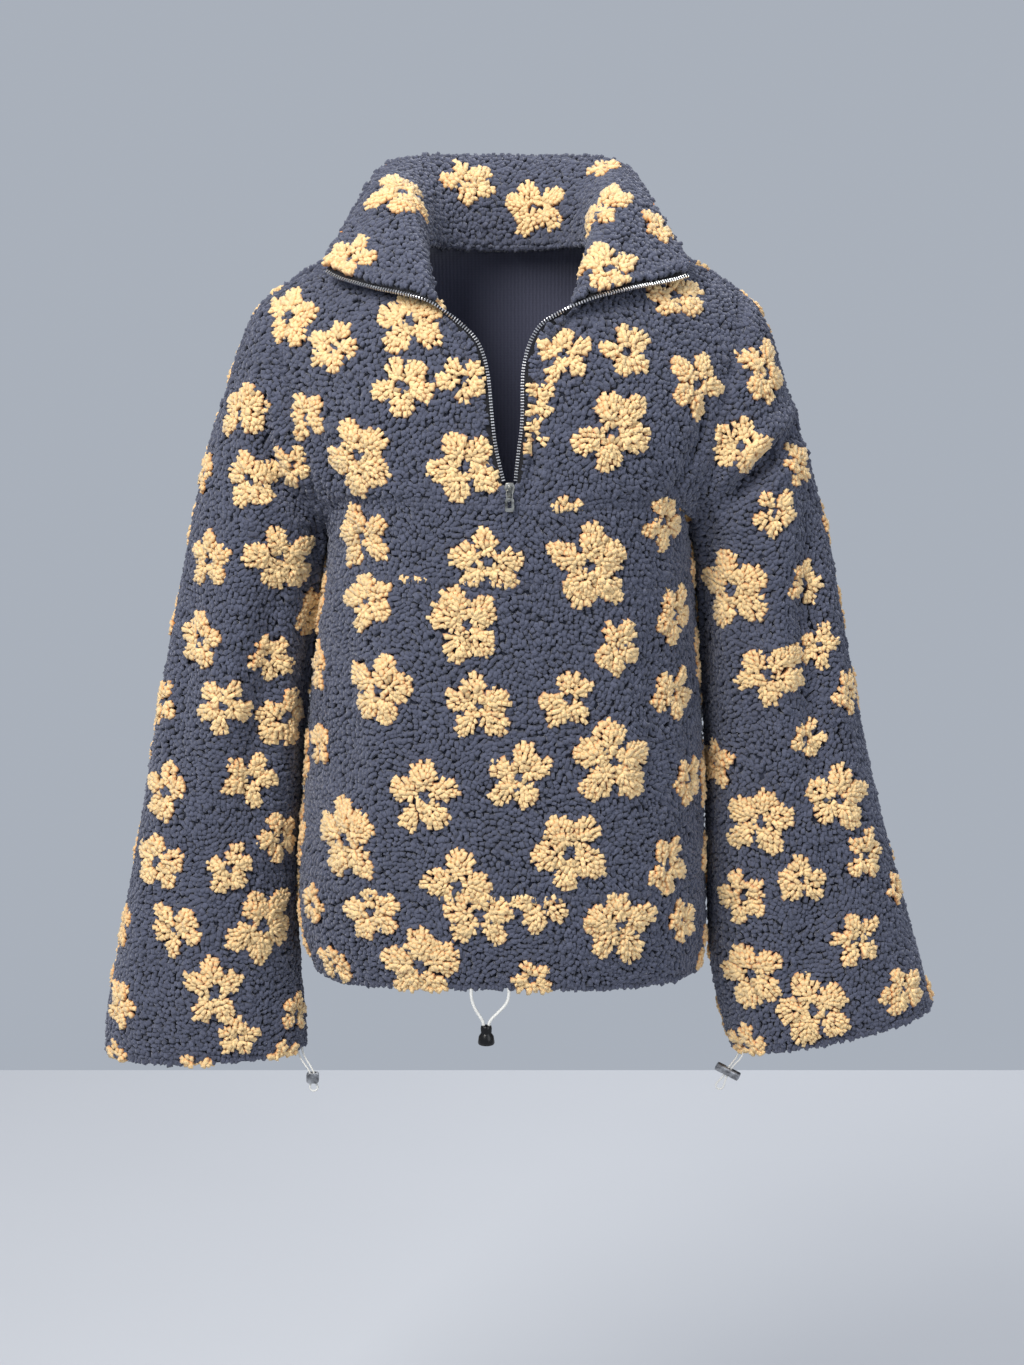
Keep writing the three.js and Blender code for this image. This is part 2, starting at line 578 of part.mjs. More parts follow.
// The back in one piece, from the hem seam to the shoulders
function backPanel() {
  const half = BACK_SHOULDER_COLUMNS + BACK_NECK_COLUMNS;
  const lowRows = 7;
  const highRows = (ARMHOLE_SHOULDER - ARMHOLE_UNDERARM) * ARMHOLE_STEPS;
  const underarm = ARMHOLE[ARMHOLE_UNDERARM].z;
  const ring = (z) => Array.from({ length: 9 }, (_, k) => bodyPoint(90 + k * 22.5, z));
  const net = UPPER_BACK.map((row, r) => {
    const armholeRow = ARMHOLE_UNDERARM + 1 + r;
    const inner = ['wide', 'broad', 'narrow'];
    return [
      armholeAt(RIGHT, armholeRow),
      ...inner.map((key) => fromList(row[key])),
      fromList(row.middle),
      ...inner.reverse().map((key) => mirrored(row[key], LEFT)),
      armholeAt(LEFT, armholeRow),
    ];
  });
  const controlRows = [ring(-300), ring(underarm), ...net].map((points) => smoothCurve(points));
  const grid = [];
  for (let r = 0; r < lowRows; r += 1) {
    grid.push(backAngles.map((angle) => {
      const seam = between(HEM_SEAM, 'angle', 'z', angle > 180 ? angle - 360 : angle);
      return bodyPoint(angle, THREE.MathUtils.lerp(seam, underarm, r / lowRows));
    }));
  }
  for (let r = 0; r <= highRows; r += 1) {
    const share = r / highRows;
    const line = [];
    for (let c = 0; c <= 2 * half; c += 1) {
      const fromEdge = Math.min(c, 2 * half - c);
      const even = fromEdge / (2 * half);
      const byShoulder = fromEdge <= BACK_SHOULDER_COLUMNS
        ? (0.25 * fromEdge) / BACK_SHOULDER_COLUMNS
        : 0.25 + (0.25 * (fromEdge - BACK_SHOULDER_COLUMNS)) / BACK_NECK_COLUMNS;
      const place = THREE.MathUtils.lerp(even, byShoulder, share);
      const across = c <= half ? place : 1 - place;
      const upwards = smoothCurve(controlRows.map((curve) => curve.getPoint(across)));
      line.push(upwards.getPoint((1 + share * (controlRows.length - 2)) / (controlRows.length - 1)));
    }
    line[0] = armholeAt(RIGHT, ARMHOLE_UNDERARM + r / ARMHOLE_STEPS);
    line[2 * half] = armholeAt(LEFT, ARMHOLE_UNDERARM + r / ARMHOLE_STEPS);
    if (r === highRows) {
      for (let c = 0; c <= BACK_SHOULDER_COLUMNS; c += 1) {
        line[c] = shoulderAt(RIGHT, 1 - c / BACK_SHOULDER_COLUMNS);
        line[2 * half - c] = shoulderAt(LEFT, 1 - c / BACK_SHOULDER_COLUMNS);
      }
      for (let c = 0; c <= 2 * BACK_NECK_COLUMNS; c += 1) {
        line[BACK_SHOULDER_COLUMNS + c] = neckline.getPoint(0.75 - (0.5 * c) / (2 * BACK_NECK_COLUMNS));
      }
    }
    grid.push(line);
  }
  clothWall('back_panel', grid, { outward: awayFromBody });
}

// A sleeve: a tube from the armhole to the open cuff
function sleeve(name, side, table) {
  const around = ARMHOLE.length * ARMHOLE_STEPS;
  const front = ARMHOLE_UNDERARM * ARMHOLE_STEPS;
  const grid = Array.from({ length: SLEEVE_ROWS + 1 }, () => []);
  for (let c = 0; c < around; c += 1) {
    const turn = c <= front ? Math.PI * (c / front) : Math.PI * (1 + (c - front) / (around - front));
    const full = (value) => Math.sign(value) * Math.abs(value) ** SLEEVE_FULLNESS;
    const across = full(Math.cos(turn));
    const forward = full(Math.sin(turn));
    const points = table.map((row) => point(
      side * (0.5 * (row.outerX + row.innerX) + 0.5 * across * (row.outerX - row.innerX)),
      row.middleY - forward * row.depth,
      0.5 * (row.outerZ + row.innerZ) + 0.5 * across * (row.outerZ - row.innerZ),
    ));
    const down = smoothCurve([armholeAt(side, c / ARMHOLE_STEPS), ...points]);
    for (let r = 0; r <= SLEEVE_ROWS; r += 1) {
      grid[r].push(down.getPoint(r / SLEEVE_ROWS));
    }
  }
  const middle = grid[Math.floor(SLEEVE_ROWS / 2)].reduce((sum, p) => sum.add(p), point(0, 0, 0));
  middle.divideScalar(around);
  clothWall(name, grid, { outward: (p) => p.clone().sub(middle), closed: true });
}

// The collar's two layers, sewn together at the top edge
function collar() {
  const stations = NECKLINE.map((row, i) => {
    const base = fromRow(row);
    const roll = fromList(COLLAR[i].roll);
    const start = base.clone().add(roll.clone().sub(base).setLength(COLLAR_START[i]));
    return smoothCurve([start, roll, fromList(COLLAR[i].middle), fromList(COLLAR[i].top)]);
  });
  const frontSteps = 2 * ARMHOLE_STEPS;
  const places = [];
  for (let k = 0; k < frontSteps; k += 1) places.push((0.25 * k) / frontSteps);
  for (let k = 0; k < 2 * BACK_NECK_COLUMNS; k += 1) places.push(0.25 + (0.5 * k) / (2 * BACK_NECK_COLUMNS));
  for (let k = 0; k <= frontSteps; k += 1) places.push(0.75 + (0.25 * k) / frontSteps);
  const grid = places.map(() => []);
  for (let c = 0; c <= COLLAR_COLUMNS; c += 1) {
    const round = smoothCurve(stations.map((station) => station.getPoint(c / COLLAR_COLUMNS)));
    places.forEach((place, r) => grid[r].push(round.getPoint(place)));
  }
  const towardsNeck = (p) => point(-p.x, -p.y, 40);
  const layer = { outward: towardsNeck, thickness: COLLAR_LAYER, bevel: 0 };
  clothWall('collar_facing', grid, { ...layer, lift: COLLAR_LAYER + SEAM_GAP / 2 });
  clothWall('collar_outer', grid, { ...layer, lift: -SEAM_GAP / 2 });
  return grid;
}

// A bar swept along a curve, with its width direction given at each step
function sweptBar(name, steps, finish) {
  const points = [];
  const faces = [];
  steps.forEach(({ near, far, thick }, i) => {
    const before = steps[Math.max(i - 1, 0)];
    const after = steps[Math.min(i + 1, steps.length - 1)];
    const along = after.near.clone().add(after.far).sub(before.near).sub(before.far);
    const up = far.clone().sub(near).cross(along).setLength(thick / 2);
    points.push(near.clone().add(up), far.clone().add(up), far.clone().sub(up), near.clone().sub(up));
  });
  const last = (steps.length - 1) * 4;
  for (let i = 0; i < last; i += 4) {
    for (let k = 0; k < 4; k += 1) {
      const next = (k + 1) % 4;
      faces.push([i + k, i + next, i + 4 + next, i + 4 + k]);
    }
  }
  faces.push([3, 2, 1, 0], [last, last + 1, last + 2, last + 3]);
  addMesh(name, solidFrom(points, faces), finish);
}

// One side of the zip: a row of teeth, and the tape that shows between it and the cloth's edge
function zipSide(sideName, table, clothEdge) {
  const teeth = smoothCurve(table.map((row) => fromRow(row)));
  const edge = smoothCurve(clothEdge).getPoints(8 * clothEdge.length);
  const lines = Array.from({ length: ZIP_STEPS + 1 }, (_, i) => teeth.getPointAt(i / ZIP_STEPS));
  const towards = lines.map((line) => {
    const nearest = edge.reduce((best, p) => (p.distanceTo(line) < best.distanceTo(line) ? p : best));
    return nearest.clone().sub(line);
  });
  const teethSteps = [];
  const tapeSteps = [];
  for (let i = 0; i <= ZIP_STEPS; i += 1) {
    const line = lines[i];
    const away = point(0, 0, 0);
    for (let k = i - 3; k <= i + 3; k += 1) {
      away.add(towards[THREE.MathUtils.clamp(k, 0, ZIP_STEPS)]);
    }
    away.normalize();
    const reach = towards[i].length() - TAPE_CLEARANCE;
    teethSteps.push({
      near: line.clone().addScaledVector(away, -TEETH_WIDTH / 2),
      far: line.clone().addScaledVector(away, TEETH_WIDTH / 2),
      thick: TEETH_THICK,
    });
    tapeSteps.push({
      near: line.clone().addScaledVector(away, TEETH_WIDTH / 2 + 2 * SEAM_GAP),
      far: line.clone().addScaledVector(away, reach),
      thick: TAPE_THICK,
    });
  }
  sweptBar(`zip_teeth_${sideName}`, teethSteps, SILVER);
  sweptBar(`zip_tape_${sideName}`, tapeSteps, BLACK_TAPE);
}

// An outline in X and Z, extruded towards the back
function plate(outline, holes, front, back) {
  const shape = new THREE.Shape(outline.map(([x, z]) => new THREE.Vector2(x, z)));
  for (const hole of holes) {
    shape.holes.push(new THREE.Path(hole.map(([x, z]) => new THREE.Vector2(x, z))));
  }
  const geometry = new THREE.ExtrudeGeometry(shape, { depth: back - front, bevelEnabled: false });
  geometry.rotateX(Math.PI / 2);
  geometry.translate(0, back, 0);
  return geometry;
}

function rectangle(left, right, bottom, top) {
  return [[left, bottom], [right, bottom], [right, top], [left, top]];
}

function slider() {
  const x = OPENING_MIDDLE;
  const { top, bottom, wide, slim, back, front } = SLIDER;
  const corner = 1.4;
  const body = plate([
    [x - slim, bottom + corner], [x - slim + corner, bottom], [x + slim - corner, bottom],
    [x + slim, bottom + corner], [x + wide, top - 2.5 * corner], [x + wide - corner, top],
    [x - wide + corner, top], [x - wide, top - 2.5 * corner],
  ], [], front, back);
  // The bridge is an arch in the Y-Z plane
  const outerFace = front - BRIDGE.gap - BRIDGE.bar;
  const arch = new THREE.Shape([
    new THREE.Vector2(front + 0.5, BRIDGE.top),
    new THREE.Vector2(outerFace + 1, BRIDGE.top),
    new THREE.Vector2(outerFace, BRIDGE.top - 1),
    new THREE.Vector2(outerFace, BRIDGE.bottom + 1),
    new THREE.Vector2(outerFace + 1, BRIDGE.bottom),
    new THREE.Vector2(front + 0.5, BRIDGE.bottom),
  ]);
  arch.holes.push(new THREE.Path([
    new THREE.Vector2(front, BRIDGE.top - BRIDGE.bar),
    new THREE.Vector2(front, BRIDGE.bottom + BRIDGE.bar),
    new THREE.Vector2(front - BRIDGE.gap, BRIDGE.bottom + BRIDGE.bar),
    new THREE.Vector2(front - BRIDGE.gap, BRIDGE.top - BRIDGE.bar),
  ]));
  const bridge = new THREE.ExtrudeGeometry(arch, { depth: BRIDGE.width, bevelEnabled: false });
  bridge.applyMatrix4(new THREE.Matrix4().set(0, 0, 1, 0, 1, 0, 0, 0, 0, 1, 0, 0, 0, 0, 0, 1));
  bridge.translate(x - BRIDGE.width / 2, 0, 0);
  addMesh('zip_slider', fromSolid(toSolid(body).add(toSolid(bridge))), DARK_METAL);
  const stop = new THREE.BoxGeometry(2 * STOP.half, STOP.depth, STOP.top - STOP.bottom);
  stop.translate(x, STOP.y, 0.5 * (STOP.top + STOP.bottom));
  addMesh('zip_bottom_stop', stop, SILVER);
}

function pullTab() {
  const x = OPENING_MIDDLE;
  const { shoulder, half, bar, length, eyeHalf, eyeLength, thick } = PULL;
  const top = PIVOT.z + bar / 2;
  const corner = 1.2;
  const outline = [
    [x - shoulder, top], [x - shoulder, top - 7], [x - half, top - 9], [x - half, top - length + corner],
    [x - half + corner, top - length], [x + half - corner, top - length], [x + half, top - length + corner],
    [x + half, top - 9], [x + shoulder, top - 7], [x + shoulder, top],
  ];
  const eye = rectangle(x - eyeHalf, x + eyeHalf, top - bar - eyeLength, top - bar);
  const slot = rectangle(x - PULL_SLOT.half, x + PULL_SLOT.half, top - PULL_SLOT.bottom, top - PULL_SLOT.top);
  addMesh('zip_pull', plate(outline, [eye, slot], PIVOT.y - thick / 2, PIVOT.y + thick / 2), DARK_METAL);
}

// A round cord along its route
function cord(name, route, diameter, steps) {
  const curve = smoothCurve(route.map(fromList));
  const ring = [];
  for (let k = 0; k < CORD_SIDES; k += 1) {
    const turn = (2 * Math.PI * k) / CORD_SIDES;
    ring.push(new THREE.Vector2((diameter / 2) * Math.cos(turn), (diameter / 2) * Math.sin(turn)));
  }
  const geometry = new THREE.ExtrudeGeometry(new THREE.Shape(ring), { steps, extrudePath: curve });
  addMesh(name, geometry, WHITE_CORD);
}

function hemLock() {
  const { x, y, top, height, neck, waist, foot, dome } = HEM_LOCK;
  const profile = [
    [0, 0], [foot - 1.6, 0], [foot - 0.4, 0.6], [foot, 1.8], [foot - 0.8, 0.45 * height],
    [waist, height - 3 * dome], [neck, height - dome], [neck - 0.5, height], [0, height],
  ];
  const geometry = new THREE.LatheGeometry(profile.map(([r, z]) => new THREE.Vector2(r, z)), 20);
  geometry.rotateX(Math.PI / 2);
  geometry.translate(x, y, top - height);
  addMesh('hem_cord_lock', fromSolid(toSolid(geometry)), BLACK_PLASTIC);
}

// The cuff locks are cut through for the two strands of their cord
function cutLock(name, body, { x, y, z, lean }, finish) {
  const bore = new THREE.BoxGeometry(LOCK_BORE.across, LOCK_BORE.deep, 40);
  const turned = toSolid(body).subtract(toSolid(bore));
  const geometry = fromSolid(turned);
  geometry.rotateY(THREE.MathUtils.degToRad(lean));
  geometry.translate(x, y, z);
  addMesh(name, geometry, finish);
}

function cuffLocks() {
  const { half, depth, height } = CUFF_LOCK_LEFT;
  const round = 1.6;
  const outline = [
    [-half, -height / 2 + round], [-half + round, -height / 2], [half - round, -height / 2],
    [half, -height / 2 + round], [half, height / 2 - round], [half - round, height / 2],
    [-half + round, height / 2], [-half, height / 2 - round],
  ];
  cutLock('cuff_lock_left', plate(outline, [], -depth / 2, depth / 2), CUFF_LOCK_LEFT, DARK_METAL);
  const { radius, length } = CUFF_LOCK_RIGHT;
  const barrel = new THREE.CylinderGeometry(radius, radius, length, 20);
  barrel.rotateZ(Math.PI / 2);
  cutLock('cuff_lock_right', barrel, CUFF_LOCK_RIGHT, DARK_METAL);
}

// Cloth
const bandGrid = frontBand();
bodyTier('front_lower', BAND_SEAM, HEM_SEAM, frontAngles, 11);
bodyTier('hem_front', HEM_SEAM, HEM_EDGE, frontAngles, 3);
bodyTier('hem_back', HEM_SEAM, HEM_EDGE, backAngles, 3);
const leftEdge = upperFront('front_upper_left', LEFT, UPPER_FRONT_LEFT, bandGrid[0]);
const rightEdge = upperFront('front_upper_right', RIGHT, UPPER_FRONT_RIGHT, bandGrid[0]);
backPanel();
sleeve('sleeve_left', LEFT, SLEEVE_LEFT);
sleeve('sleeve_right', RIGHT, SLEEVE_RIGHT);
const collarGrid = collar();

// Zip: the cloth's edge runs up the front and then along the end of the collar
const openRows = 4 * ARMHOLE_STEPS;
zipSide('left', TEETH_LEFT, [...leftEdge.slice(1, openRows + 1), ...collarGrid[0]]);
zipSide('right', TEETH_RIGHT, [...rightEdge.slice(1, openRows + 1), ...collarGrid[collarGrid.length - 1]]);
slider();
pullTab();

// Draw cords and their locks
cord('hem_cord_left', HEM_CORD_LEFT, HEM_CORD, 14);
cord('hem_cord_right', HEM_CORD_RIGHT, HEM_CORD, 14);
hemLock();
cord('cuff_cord_left', CUFF_CORD_LEFT, CUFF_CORD, 40);
cord('cuff_cord_right', CUFF_CORD_RIGHT, CUFF_CORD, 40);
cuffLocks();

export default garment;
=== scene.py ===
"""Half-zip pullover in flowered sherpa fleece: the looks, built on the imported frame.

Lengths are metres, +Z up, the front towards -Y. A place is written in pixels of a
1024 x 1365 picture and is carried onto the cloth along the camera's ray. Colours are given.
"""
import math

import bmesh
import bpy
import numpy as np
from bpy.props import FloatProperty, FloatVectorProperty, IntProperty, PointerProperty
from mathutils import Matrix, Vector
from mathutils.bvhtree import BVHTree


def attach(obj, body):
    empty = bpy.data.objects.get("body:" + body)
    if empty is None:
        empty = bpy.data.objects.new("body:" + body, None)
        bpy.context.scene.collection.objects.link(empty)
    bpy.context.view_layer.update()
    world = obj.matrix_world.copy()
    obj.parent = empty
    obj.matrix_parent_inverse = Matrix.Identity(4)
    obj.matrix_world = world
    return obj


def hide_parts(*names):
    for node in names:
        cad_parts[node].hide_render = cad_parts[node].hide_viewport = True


bl_info = {
    "name": "Sherpa fleece pullover",
    "version": (1, 0, 0),
    "blender": (4, 5, 0),
    "location": "View3D > Sidebar > Pullover",
    "description": "Builds a half-zip pullover of flowered sherpa fleece, with its zip and draw cords",
    "category": "Object",
}

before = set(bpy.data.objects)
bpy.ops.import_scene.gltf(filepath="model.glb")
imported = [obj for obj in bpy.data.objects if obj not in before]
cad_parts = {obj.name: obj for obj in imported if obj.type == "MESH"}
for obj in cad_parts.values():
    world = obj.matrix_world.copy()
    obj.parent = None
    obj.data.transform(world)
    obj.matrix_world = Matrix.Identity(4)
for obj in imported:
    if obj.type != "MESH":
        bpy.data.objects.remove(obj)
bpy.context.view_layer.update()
GARMENT = "garment"
PULL_BODY = "pull_tab"
MM = 0.001

# Camera
EYE = Vector((0.0036, -2.584, 0.105))
PITCH = math.radians(10.53)
LENS = 77.0
SENSOR = 36.0
PICTURE = (1024, 1365)
FOCAL_PIXELS = LENS / SENSOR * PICTURE[1]
TO_FRONT = 2.5  # metres from the eye to the front's cloth

# Where each flower's middle lies and about how wide it reaches, in pixels. A flower that runs on
# over a seam stands in both lists; one that the seam cuts off stands in one.
FLOWERS = {
    "front_upper_left": [
        (288, 316, 35), (333, 347, 28), (410, 320, 36), (402, 386, 33), (463, 380, 26), (357, 456, 38),
        (465, 467, 37), (306, 417, 25),
    ],
    "front_upper_right": [
        (676, 295, 33), (564, 355, 28), (626, 350, 28), (697, 384, 33), (613, 432, 42), (534, 400, 22),
        (532, 435, 18), (566, 512, 18),
    ],
    "front_band": [
        (363, 537, 33), (487, 562, 36), (590, 566, 45), (664, 522, 30), (408, 602, 27),
    ],
    "front_lower": [
        (367, 600, 30), (466, 625, 40), (590, 566, 45), (618, 648, 27), (675, 614, 30), (378, 689, 36),
        (478, 706, 34), (568, 700, 28), (674, 693, 28), (319, 667, 25), (320, 745, 22), (614, 762, 42),
        (519, 777, 35), (424, 797, 38), (688, 780, 25), (345, 840, 42), (570, 852, 38), (668, 865, 28),
        (457, 887, 39),
    ],
    "hem_front": [
        (313, 903, 22), (370, 912, 30), (480, 916, 33), (540, 902, 31), (621, 925, 38), (683, 920, 22),
        (335, 965, 22), (420, 967, 43), (533, 980, 21),
    ],
    "sleeve_left": [
        (288, 316, 35), (241, 411, 28), (248, 480, 27), (292, 466, 24), (205, 472, 20), (209, 560, 27),
        (281, 558, 36), (310, 610, 25), (200, 640, 27), (269, 658, 25), (222, 706, 26), (288, 718, 29),
        (163, 700, 20), (250, 778, 28), (165, 790, 28), (280, 838, 25), (157, 862, 27), (230, 869, 25),
        (123, 925, 20), (176, 930, 28), (262, 926, 38), (120, 1005, 22), (214, 992, 34), (296, 1012, 20),
        (238, 1037, 22), (116, 1058, 16), (195, 1074, 20), (285, 1058, 18),
    ],
    "sleeve_right": [
        (766, 372, 30), (742, 447, 30), (800, 465, 20), (775, 513, 25), (803, 583, 22), (730, 590, 38),
        (767, 674, 32), (819, 646, 22), (848, 692, 20), (806, 738, 20), (838, 798, 32), (760, 822, 35),
        (715, 762, 25), (866, 855, 24), (741, 896, 28), (802, 880, 25), (895, 888, 16), (857, 940, 27),
        (752, 975, 36), (814, 1010, 38), (903, 990, 26), (745, 1045, 24), (793, 1070, 18),
    ],
    "collar_facing": [
        (402, 192, 33), (350, 257, 30), (602, 206, 31), (609, 268, 33), (657, 228, 22), (604, 168, 16),
        (468, 182, 27), (536, 207, 30),
    ],
}

TEETH_BY_NODE = {
    "front_upper_left": ["zip_teeth_left"], "front_upper_right": ["zip_teeth_right"],
    "collar_facing": ["zip_teeth_left", "zip_teeth_right"],
}

# Folds pressed into the cloth: the line in pixels as its side of the garment shows it, then the half
# width and the depth in millimetres. A depth below 0 stands out. The lip is the share of the depth
# that the cloth beside the fold stands out by, and below the fold it is LOW_LIP at most. A straight
# fold is pushed back, the others inwards. One that runs along a seam lies over the front piece
# beside it, and both pieces have it.
FRONT = 1
BEHIND = -1
LOW_LIP = 0.35


def fold(line, width, depth, lip=LOW_LIP, side=FRONT, straight=False, over=None):
    return {
        "line": line, "width": width * MM, "depth": depth * MM, "lip": lip, "side": side,
        "straight": straight, "over": over}


ARMHOLE_LEFT = fold(
    [(302, 436), (310, 468), (319, 504)], 7, 7, lip=0, straight=True, over="front_upper_left")
ARMHOLE_RIGHT = fold(
    [(730, 392), (723, 438), (712, 474), (698, 508)], 7, 10, lip=0, straight=True,
    over="front_upper_right")
FOLDS = {
    "front_upper_left": [ARMHOLE_LEFT],
    "front_upper_right": [fold([(535, 432), (532, 468), (533, 502)], 5, 4), ARMHOLE_RIGHT],
    "sleeve_right": [
        fold([(795, 430), (776, 450), (750, 478), (730, 502)], 9, 13, lip=0.75),
        fold([(812, 500), (808, 600), (812, 700), (822, 800)], 15, 9),
        fold([(772, 520), (778, 600), (786, 700), (794, 780)], 15, -4),
        fold([(714, 520), (708, 600), (706, 700), (708, 800)], 13, 16, lip=0, straight=True),
        fold([(830, 860), (812, 930), (800, 1010)], 15, 4),
        fold([(806, 432), (780, 458), (744, 500)], 12, 9, side=BEHIND),
        fold([(765, 530), (778, 640), (794, 760)], 15, 7, side=BEHIND),
        ARMHOLE_RIGHT,
    ],
    "sleeve_left": [
        fold([(262, 410), (266, 450), (280, 486), (300, 506), (318, 536)], 9, 11, lip=0.55),
        fold([(313, 540), (306, 620), (301, 700), (298, 800)], 13, 17, lip=0, straight=True),
        fold([(280, 540), (272, 640), (262, 720), (250, 820)], 15, 6),
        fold([(248, 520), (240, 620), (226, 720), (212, 800)], 16, -5),
        fold([(196, 560), (182, 680), (168, 790)], 14, 5),
        fold([(170, 860), (166, 940), (160, 1020)], 15, 4),
        fold([(214, 440), (246, 462), (276, 505)], 12, 9, side=BEHIND),
        fold([(262, 540), (250, 640), (236, 760)], 15, 7, side=BEHIND),
        ARMHOLE_LEFT,
    ],
    "front_lower": [
        fold([(648, 640), (655, 720), (650, 800)], 16, 4),
        fold([(345, 640), (352, 720), (348, 790)], 16, 4),
    ],
    "back_panel": [
        fold([(420, 560), (410, 680), (416, 800)], 18, 6, side=BEHIND),
        fold([(600, 540), (618, 660), (610, 790)], 18, 6, side=BEHIND),
    ],
}
FOLD_END = 0.12  # share of half a sine wave that a fold's depth starts and stops at
LIP_AT = 2.1  # half widths from a fold's line to the crest of its lip
SEAM_PINCH = 1.2 * MM
SEAM_REACH = 5 * MM

# The knit takes a fold a little wider and deeper than the pile on it does, with a lower lip
UNDER_WIDTH = 1.2
UNDER_DEPTH = 1.5 * MM
UNDER_LIP = 0.6

# The CAD walls: what tells their two sides apart, and a sleeve's axis, which runs outwards on its way
# down
SAME_POINT = 0.02 * MM
SOFT_EDGE = math.radians(48)
COLLAR_RISE = 0.04
SLEEVE_TOP_X = 0.20
SLEEVE_SPREAD = 0.085
SLEEVE_LENGTH = 0.7
SLEEVE_Y = 0.01
FAR = 9.0  # more than any distance here

# A flower's measures as shares of its radius, least and most where they vary
PETALS = 5
PETAL_REACH = (0.58, 0.69)  # from the flower's middle to a petal's
PETAL_LENGTH = (0.39, 0.49)
PETAL_WIDTH = (0.33, 0.42)
PETAL_TURN = 0.22  # radians that a petal lies off its even place
RAGGED = 0.045
HOLE = (0.13, 0.19)
CORE = 0.34  # what the petals fill round the hole
SQUEEZE = (0.0, 0.2)
FLOWER_DEPTH = 0.9  # cloth that lies farther off the flower's plane stays plain
FLOWER_SPAN = 1.35
FAN = 0.55  # the locks of a petal spread from here
SLEEVE_STRETCH = 0.12  # how much larger a flower on a sleeve's side is than it looks

# Flowers on the sides that the picture doesn't show: they start where the cloth is turned this far
# from the eye, as a cosine, and two of them lie apart by their radii and a gap
HIDDEN_RADIUS = (0.024, 0.035)
CLOSE = 0.95
HIDDEN_GAP = 0.007
SLEEVE_TURNED = -0.28
BODY_TURNED = -0.05

# Locks of the flowers and tufts of the ground: how far they lean, half their height in millimetres,
# how high they lie at a petal's rim and how much higher in its middle
LOCK = {"lean": 0.34, "half": 2.6, "rise": 0.5, "puff": 1.7}
TUFT = {"lean": 0.2, "half": 2.3, "rise": 0.0, "puff": 0.0}
LOCK_LENGTH = 1.12
LOCK_WIDTH = 0.69
GROOVE = 1.3  # depth between two petals in millimetres
SINK = 1.8  # how deep pile is rooted in millimetres, and on a rim
RIM_SINK = 0.6
RIM_SIZE = 0.82
RIM_HEIGHT = (0.9, 2.0)
DEEPEST = 3.9  # no tuft reaches farther down than this, in millimetres
# Painted shade: a ground tuft's colour at its root is this share of its tip's, and pile between two petals is
# darker by at most the next share
PAINTED_ROOT_SHADE = 0.3
PAINTED_GROOVE_SHADE = 0.32

# Behind the neck, flowers stay a little away from the edges of these pieces
HIDDEN_NECK = ("back_panel", "collar_outer")
NECK_CLEAR = 8 * MM
NECK_HALF_WIDTH = 0.1
NECK_LOW = -0.06

# Rows of pile round a rim: how far beyond the edge, how deep and how much they tilt outwards. Where
# the edge follows the zip, more rows reach over the tape towards the teeth.
RIM_ROWS = ((-0.5, 1.0, 0.8), (-0.3, 3.0, 2.4))
TAPE_ROWS = (1.7, 3.7, 5.7, 7.7, 9.7)
TAPE_DEEP = -0.9
TAPE_TILT = 0.25
TAPE_SHOWS = 3.9  # from the teeth to the last row of pile over the tape
ZIP_NEAR = 20
ZIP_AHEAD = 0.3

# The nap's swirls: how many waves, how tight, how far each turns the nap, and the rest at random
SWIRLS = 6
SWIRL_WAVE = 26
SWIRL_TURN = 0.55
NAP_NOISE = 0.45

# Metals by colour, roughness and the patina's colour, and plastic by colour and roughness
FINISHES = {
    "metal:silver": ((0.86, 0.86, 0.87), 0.2, (0.6, 0.6, 0.62)),
    "metal:antique": ((0.5, 0.5, 0.47), 0.22, (0.13, 0.13, 0.12)),
    "metal:gunmetal": ((0.42, 0.43, 0.45), 0.3, (0.16, 0.16, 0.17)),
    "plastic:black": ((0.003, 0.003, 0.0035), 0.2),
}

# Lights: place, size, power, colour and the place that each is turned to
LIGHTS = {
    "key_light": ((-1.5, -2.3, 2.3), 1.5, 160, (1.0, 0.98, 0.95), (0, 0, -0.3)),
    "fill_light": ((2.3, -2.4, 0.6), 2.2, 30, (0.95, 0.97, 1.0), (0, 0, -0.4)),
    "top_light": ((0.2, 0.6, 2.4), 2.0, 20, (0.96, 0.98, 1.0), (0, 0, -0.2)),
    "back_light": ((0.9, 2.8, 1.2), 2.4, 45, (0.98, 0.98, 1.0), (0, 0, -0.3)),
}
SKY_STRENGTH = 0.72

# What is made once and used again
MATERIALS = {}
TEMPLATES = {}
SEAM_LINES = {}


def from_eye_colour(*channels):
    """A colour of 0 to 255 a channel as the linear values that shaders take."""
    return tuple(((part / 255 + 0.055) / 1.055) ** 2.4 if part > 10 else part / 3294.6 for part in channels)


def length_setting(name, description, default):
    return FloatProperty(name=name, description=description, default=default, unit="LENGTH")


def colour_setting(name, description, *channels):
    return FloatVectorProperty(
        name=name, description=description, subtype="COLOR", default=from_eye_colour(*channels))


